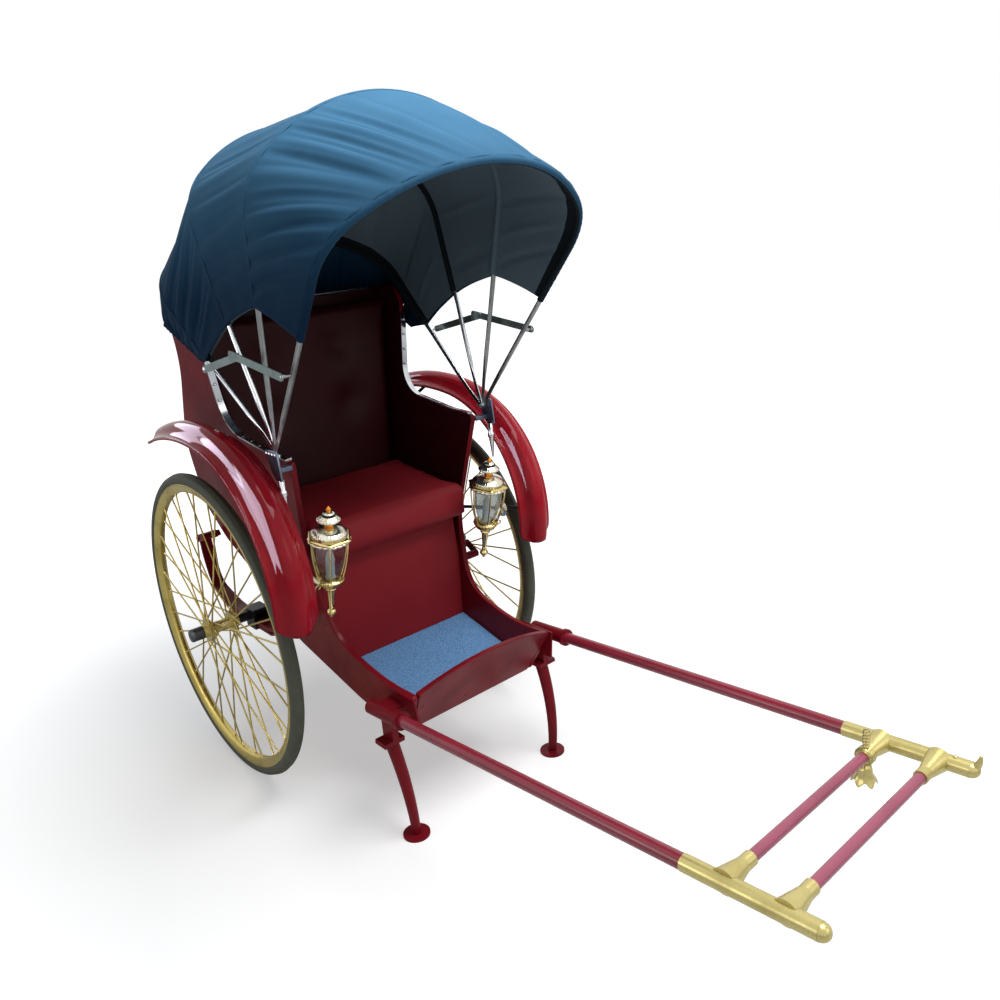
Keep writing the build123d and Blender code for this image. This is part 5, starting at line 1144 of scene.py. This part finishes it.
# Each row: bows, bodies, frame node, swell, the share of the lining from which it is black, and the pull folds.
# A fold is given by its place on both bows as a length from the crown, its width and its height, minus for a valley.
PANELS = [
    ("rear", "second", "chassis", "bow_second", "hood_cloth_rear", -0.014, (0.0, 0.10), [
        (0.680, 0.620, 0.012, 0.0040), (0.645, 0.560, 0.010, -0.0040), (0.615, 0.520, 0.014, 0.0060),
        (0.585, 0.470, 0.009, -0.0045), (0.555, 0.435, 0.014, 0.0055), (0.515, 0.390, 0.010, -0.0040),
        (0.480, 0.350, 0.018, 0.0050), (0.380, 0.270, 0.020, 0.0045), (0.300, 0.200, 0.014, -0.0035),
        (0.240, 0.150, 0.022, 0.0040), (0.100, 0.060, 0.030, 0.0035)]),
    ("second", "third", "bow_second", "bow_third", "hood_cloth_middle", -0.003, (2.0, 3.0), [
        (0.640, 0.590, 0.016, 0.0035), (0.570, 0.535, 0.011, -0.0035), (0.535, 0.490, 0.014, 0.0045),
        (0.490, 0.455, 0.009, -0.0035), (0.455, 0.415, 0.013, 0.0045), (0.400, 0.340, 0.016, 0.0040),
        (0.350, 0.290, 0.011, -0.0035), (0.280, 0.215, 0.020, 0.0040), (0.130, 0.105, 0.028, 0.0030)]),
    ("third", "front", "bow_third", "bow_front", "hood_cloth_front", 0.006, (0.87, 2.0), [
        (0.665, 0.500, 0.0101, 0.0062), (0.635, 0.468, 0.0078, -0.0052), (0.605, 0.440, 0.0101, 0.0067),
        (0.578, 0.412, 0.0078, -0.0057), (0.550, 0.385, 0.0094, 0.0067), (0.525, 0.360, 0.0078, -0.0052),
        (0.495, 0.332, 0.0109, 0.0062), (0.455, 0.300, 0.0109, -0.0041), (0.400, 0.265, 0.0156, 0.0052),
        (0.345, 0.235, 0.0109, -0.0052), (0.310, 0.205, 0.0140, 0.0078), (0.270, 0.160, 0.0094, -0.0057),
        (0.235, 0.120, 0.0133, 0.0083), (0.195, 0.085, 0.0109, -0.0052), (0.130, 0.045, 0.0203, 0.0046)]),
]
LINING_ROWS, LINING_COLUMNS, LINING_LIFT, LINING_SWELL = 40, 160, -0.002, 0.6
BLEND_AT, SIDE_SEAMS, END_SEAMS = 0.55, 0.06, 0.02
for number, (first, second, body_a, body_b, node, swell, black_from, rows) in enumerate(PANELS):
    folds = both_sides(rows, 20 + number)
    outer = hood_panel(first, second, ON_BOW, swell, folds)
    pivot = [on_bow(BOW_ANGLES[name], np.array(run_at(BLEND_AT)), 0.0) for name in (first, second)]
    start, end = [(0.0, float(p[1]), float(p[2])) for p in pivot]
    cloth = skin("canvas_" + first, outer, canvas, None, outward=False)
    give_wall(cloth, "cloth_thickness", CLOTH_T, 1.0)
    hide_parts(node)
    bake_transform(cloth)
    inner = hood_panel(first, second, LINING_LIFT, swell * LINING_SWELL, folds[::3], along=LINING_ROWS,
                       across=LINING_COLUMNS, turned_hem=0.0)
    lining = skin("lining_" + first, inner, grey_lining, None, outward=False)
    share = np.repeat((np.arange(LINING_ROWS - 1) + 0.5) / (LINING_ROWS - 1), LINING_COLUMNS - 1)
    second_finish(lining, black_facing, (share > black_from[0]) & (share < black_from[1]))
    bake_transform(lining)

# Bow pockets and seams: the canvas goes round the front bow in a sleeve; a pocket of lining holds each other bow.
# Outside, a flat strip covers the seam over each bow; all of these are sewn on and turn with their bow.
ON_TUBE, REAR_FORWARD, POCKET_ROWS, POCKET_SIDES, SLEEVE_OUT, POCKET_IN = 0.0066, 0.0035, 240, 14, 0.006, -0.003
SEAM = np.array([(-0.0066, -0.0020), (-0.0064, 0.0004), (-0.0030, 0.0011), (0.0030, 0.0011), (0.0064, 0.0004),
                 (0.0066, -0.0020)])
for name, body, pocket_r, finish in (
        ("rear", "chassis", 0.0115, black_facing), ("second", "bow_second", 0.0096, black_facing),
        ("third", "bow_third", 0.0096, grey_lining), ("front", "bow_front", 0.0090, canvas)):
    hem = float(run_at(BOW_HEMS[name])) + (SLEEVE_OUT if name == "front" else POCKET_IN)
    run = np.linspace(-hem, hem, POCKET_ROWS)
    upward = on_bow(BOW_ANGLES[name], run, 1.0) - on_bow(BOW_ANGLES[name], run, 0.0)
    inset = 0.0 if name == "front" else ON_TUBE - pocket_r
    pucker = 1.0 + 0.04 * np.sin(410.0 * run + 3.0 * np.sin(37.0 * run))
    section = circle(pocket_r, POCKET_SIDES) + [REAR_FORWARD if name == "rear" else 0.0, 0.0]
    pocket_points = carried(section, on_bow(BOW_ANGLES[name], run, inset), upward, pucker)
    pocket = rod("pocket_" + name, pocket_points, finish, body)
    if name == "front":
        under = np.sin(2.0 * np.pi * (np.arange(POCKET_SIDES) + 0.5) / POCKET_SIDES) < -0.3
        second_finish(pocket, black_facing, np.append(np.tile(under, POCKET_ROWS - 1), [False, False]))
    else:
        rod("seam_" + name, carried(SEAM, on_bow(BOW_ANGLES[name], run, ON_BOW + CLOTH_T), upward), canvas, body)


# Curtain: the canvas runs on from the rear bow round the back of the tub, where an elastic gathers it into a frill.
# It is straight from the bow to the elastic, swollen by its own slack, and waves grow towards the elastic.
HEM_Y, HEM_Z, HEM_TILT, HEM_BACK, HEM_CORNER, HEM_OFF = -0.062, 0.764, math.radians(25.0), 0.158, 0.026, 0.006


def tub_hem(count):
    """Line of the elastic round the tub from its right side over the back to its left side."""
    deep = (HEM_BACK - HEM_Y) / math.cos(HEM_TILT)
    near = TUB_LOW_HALF + TUB_FLARE * (HEM_Z - TUB_LOW_Z) + HEM_OFF
    far = TUB_LOW_HALF + TUB_FLARE * (HEM_Z + deep * math.sin(HEM_TILT) - TUB_LOW_Z) + HEM_OFF
    turn = np.radians(np.linspace(0.0, 90.0, 12))
    corner = [far, deep] + HEM_CORNER * (np.stack([np.cos(turn), np.sin(turn)], axis=1) - 1.0)
    half = np.concatenate([[[near, 0.0]], corner, [[0.0, deep + HEM_OFF]]])
    whole = along_line(np.concatenate([half * [-1.0, 1.0], half[-2::-1]]), count)
    y = AXLE[1] + HEM_Y + whole[:, 1] * math.cos(HEM_TILT)
    z = AXLE[2] + HEM_Z + whole[:, 1] * math.sin(HEM_TILT)
    return np.stack([whole[:, 0], y, z], axis=1)


# ELASTIC is its place on the way down; waves run round the curtain, and slack and random pull lines run down it.
ROWS, COLUMNS, ELASTIC, WAVES = 48, 620, 0.90, 27.0
WAVE_RISE, SLACK, FRILL_RISE, CURTAIN_OUT = 0.0030, 0.003, 0.004, 0.0015
v = np.linspace(0.0, 1.0, ROWS)[:, None]
u = np.linspace(-1.0, 1.0, COLUMNS)[None, :]
hem_run = float(run_at(BOW_HEMS["rear"]))
over_bow = on_bow(BOW_ANGLES["rear"], u[0] * hem_run, ON_BOW)
curtain_points = (1.0 - v)[..., None] * over_bow + v[..., None] * tub_hem(COLUMNS)
out_of = swell_out(curtain_points)
gather = np.sin(2.0 * np.pi * WAVES * u + 1.6 * np.sin(11.0 * u) + 0.9 * np.sin(29.0 * u + 1.0))
wave = WAVE_RISE * eased((v - 0.30) / 0.50) * (1.0 - 0.8 * eased((v - ELASTIC + 0.02) / 0.06))
wave = wave * (1.0 - 0.5 * np.exp(-(((v - ELASTIC) / 0.018) ** 2)))
slack = SLACK * np.sin(np.pi * np.clip(v / ELASTIC, 0.0, 1.0)) ** 0.8 + FRILL_RISE * eased((v - ELASTIC) / 0.09)
draw = np.random.default_rng(7)
for place in np.linspace(-0.96, 0.96, 25) + draw.uniform(-0.02, 0.02, 25):
    crest = place + draw.uniform(-0.05, 0.05) * v
    height = draw.uniform(0.0025, 0.0065) * draw.choice([-1.0, 1.0])
    ridge = np.exp(-(((u - crest) / draw.uniform(0.012, 0.026)) ** 2))
    slack = slack + height * ridge * np.sin(np.pi * np.clip(v, 0.02, 0.98)) ** 0.7
slack = slack * eased((1.0 - np.abs(u)) / 0.03 + 0.15)
curtain_points = curtain_points + out_of * (gather * wave + slack + CURTAIN_OUT)[..., None]
curtain = skin("curtain_gathered", curtain_points, canvas, "chassis", outward=False)
give_wall(curtain, "cloth_thickness", CLOTH_T, 1.0)
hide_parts("hood_curtain")
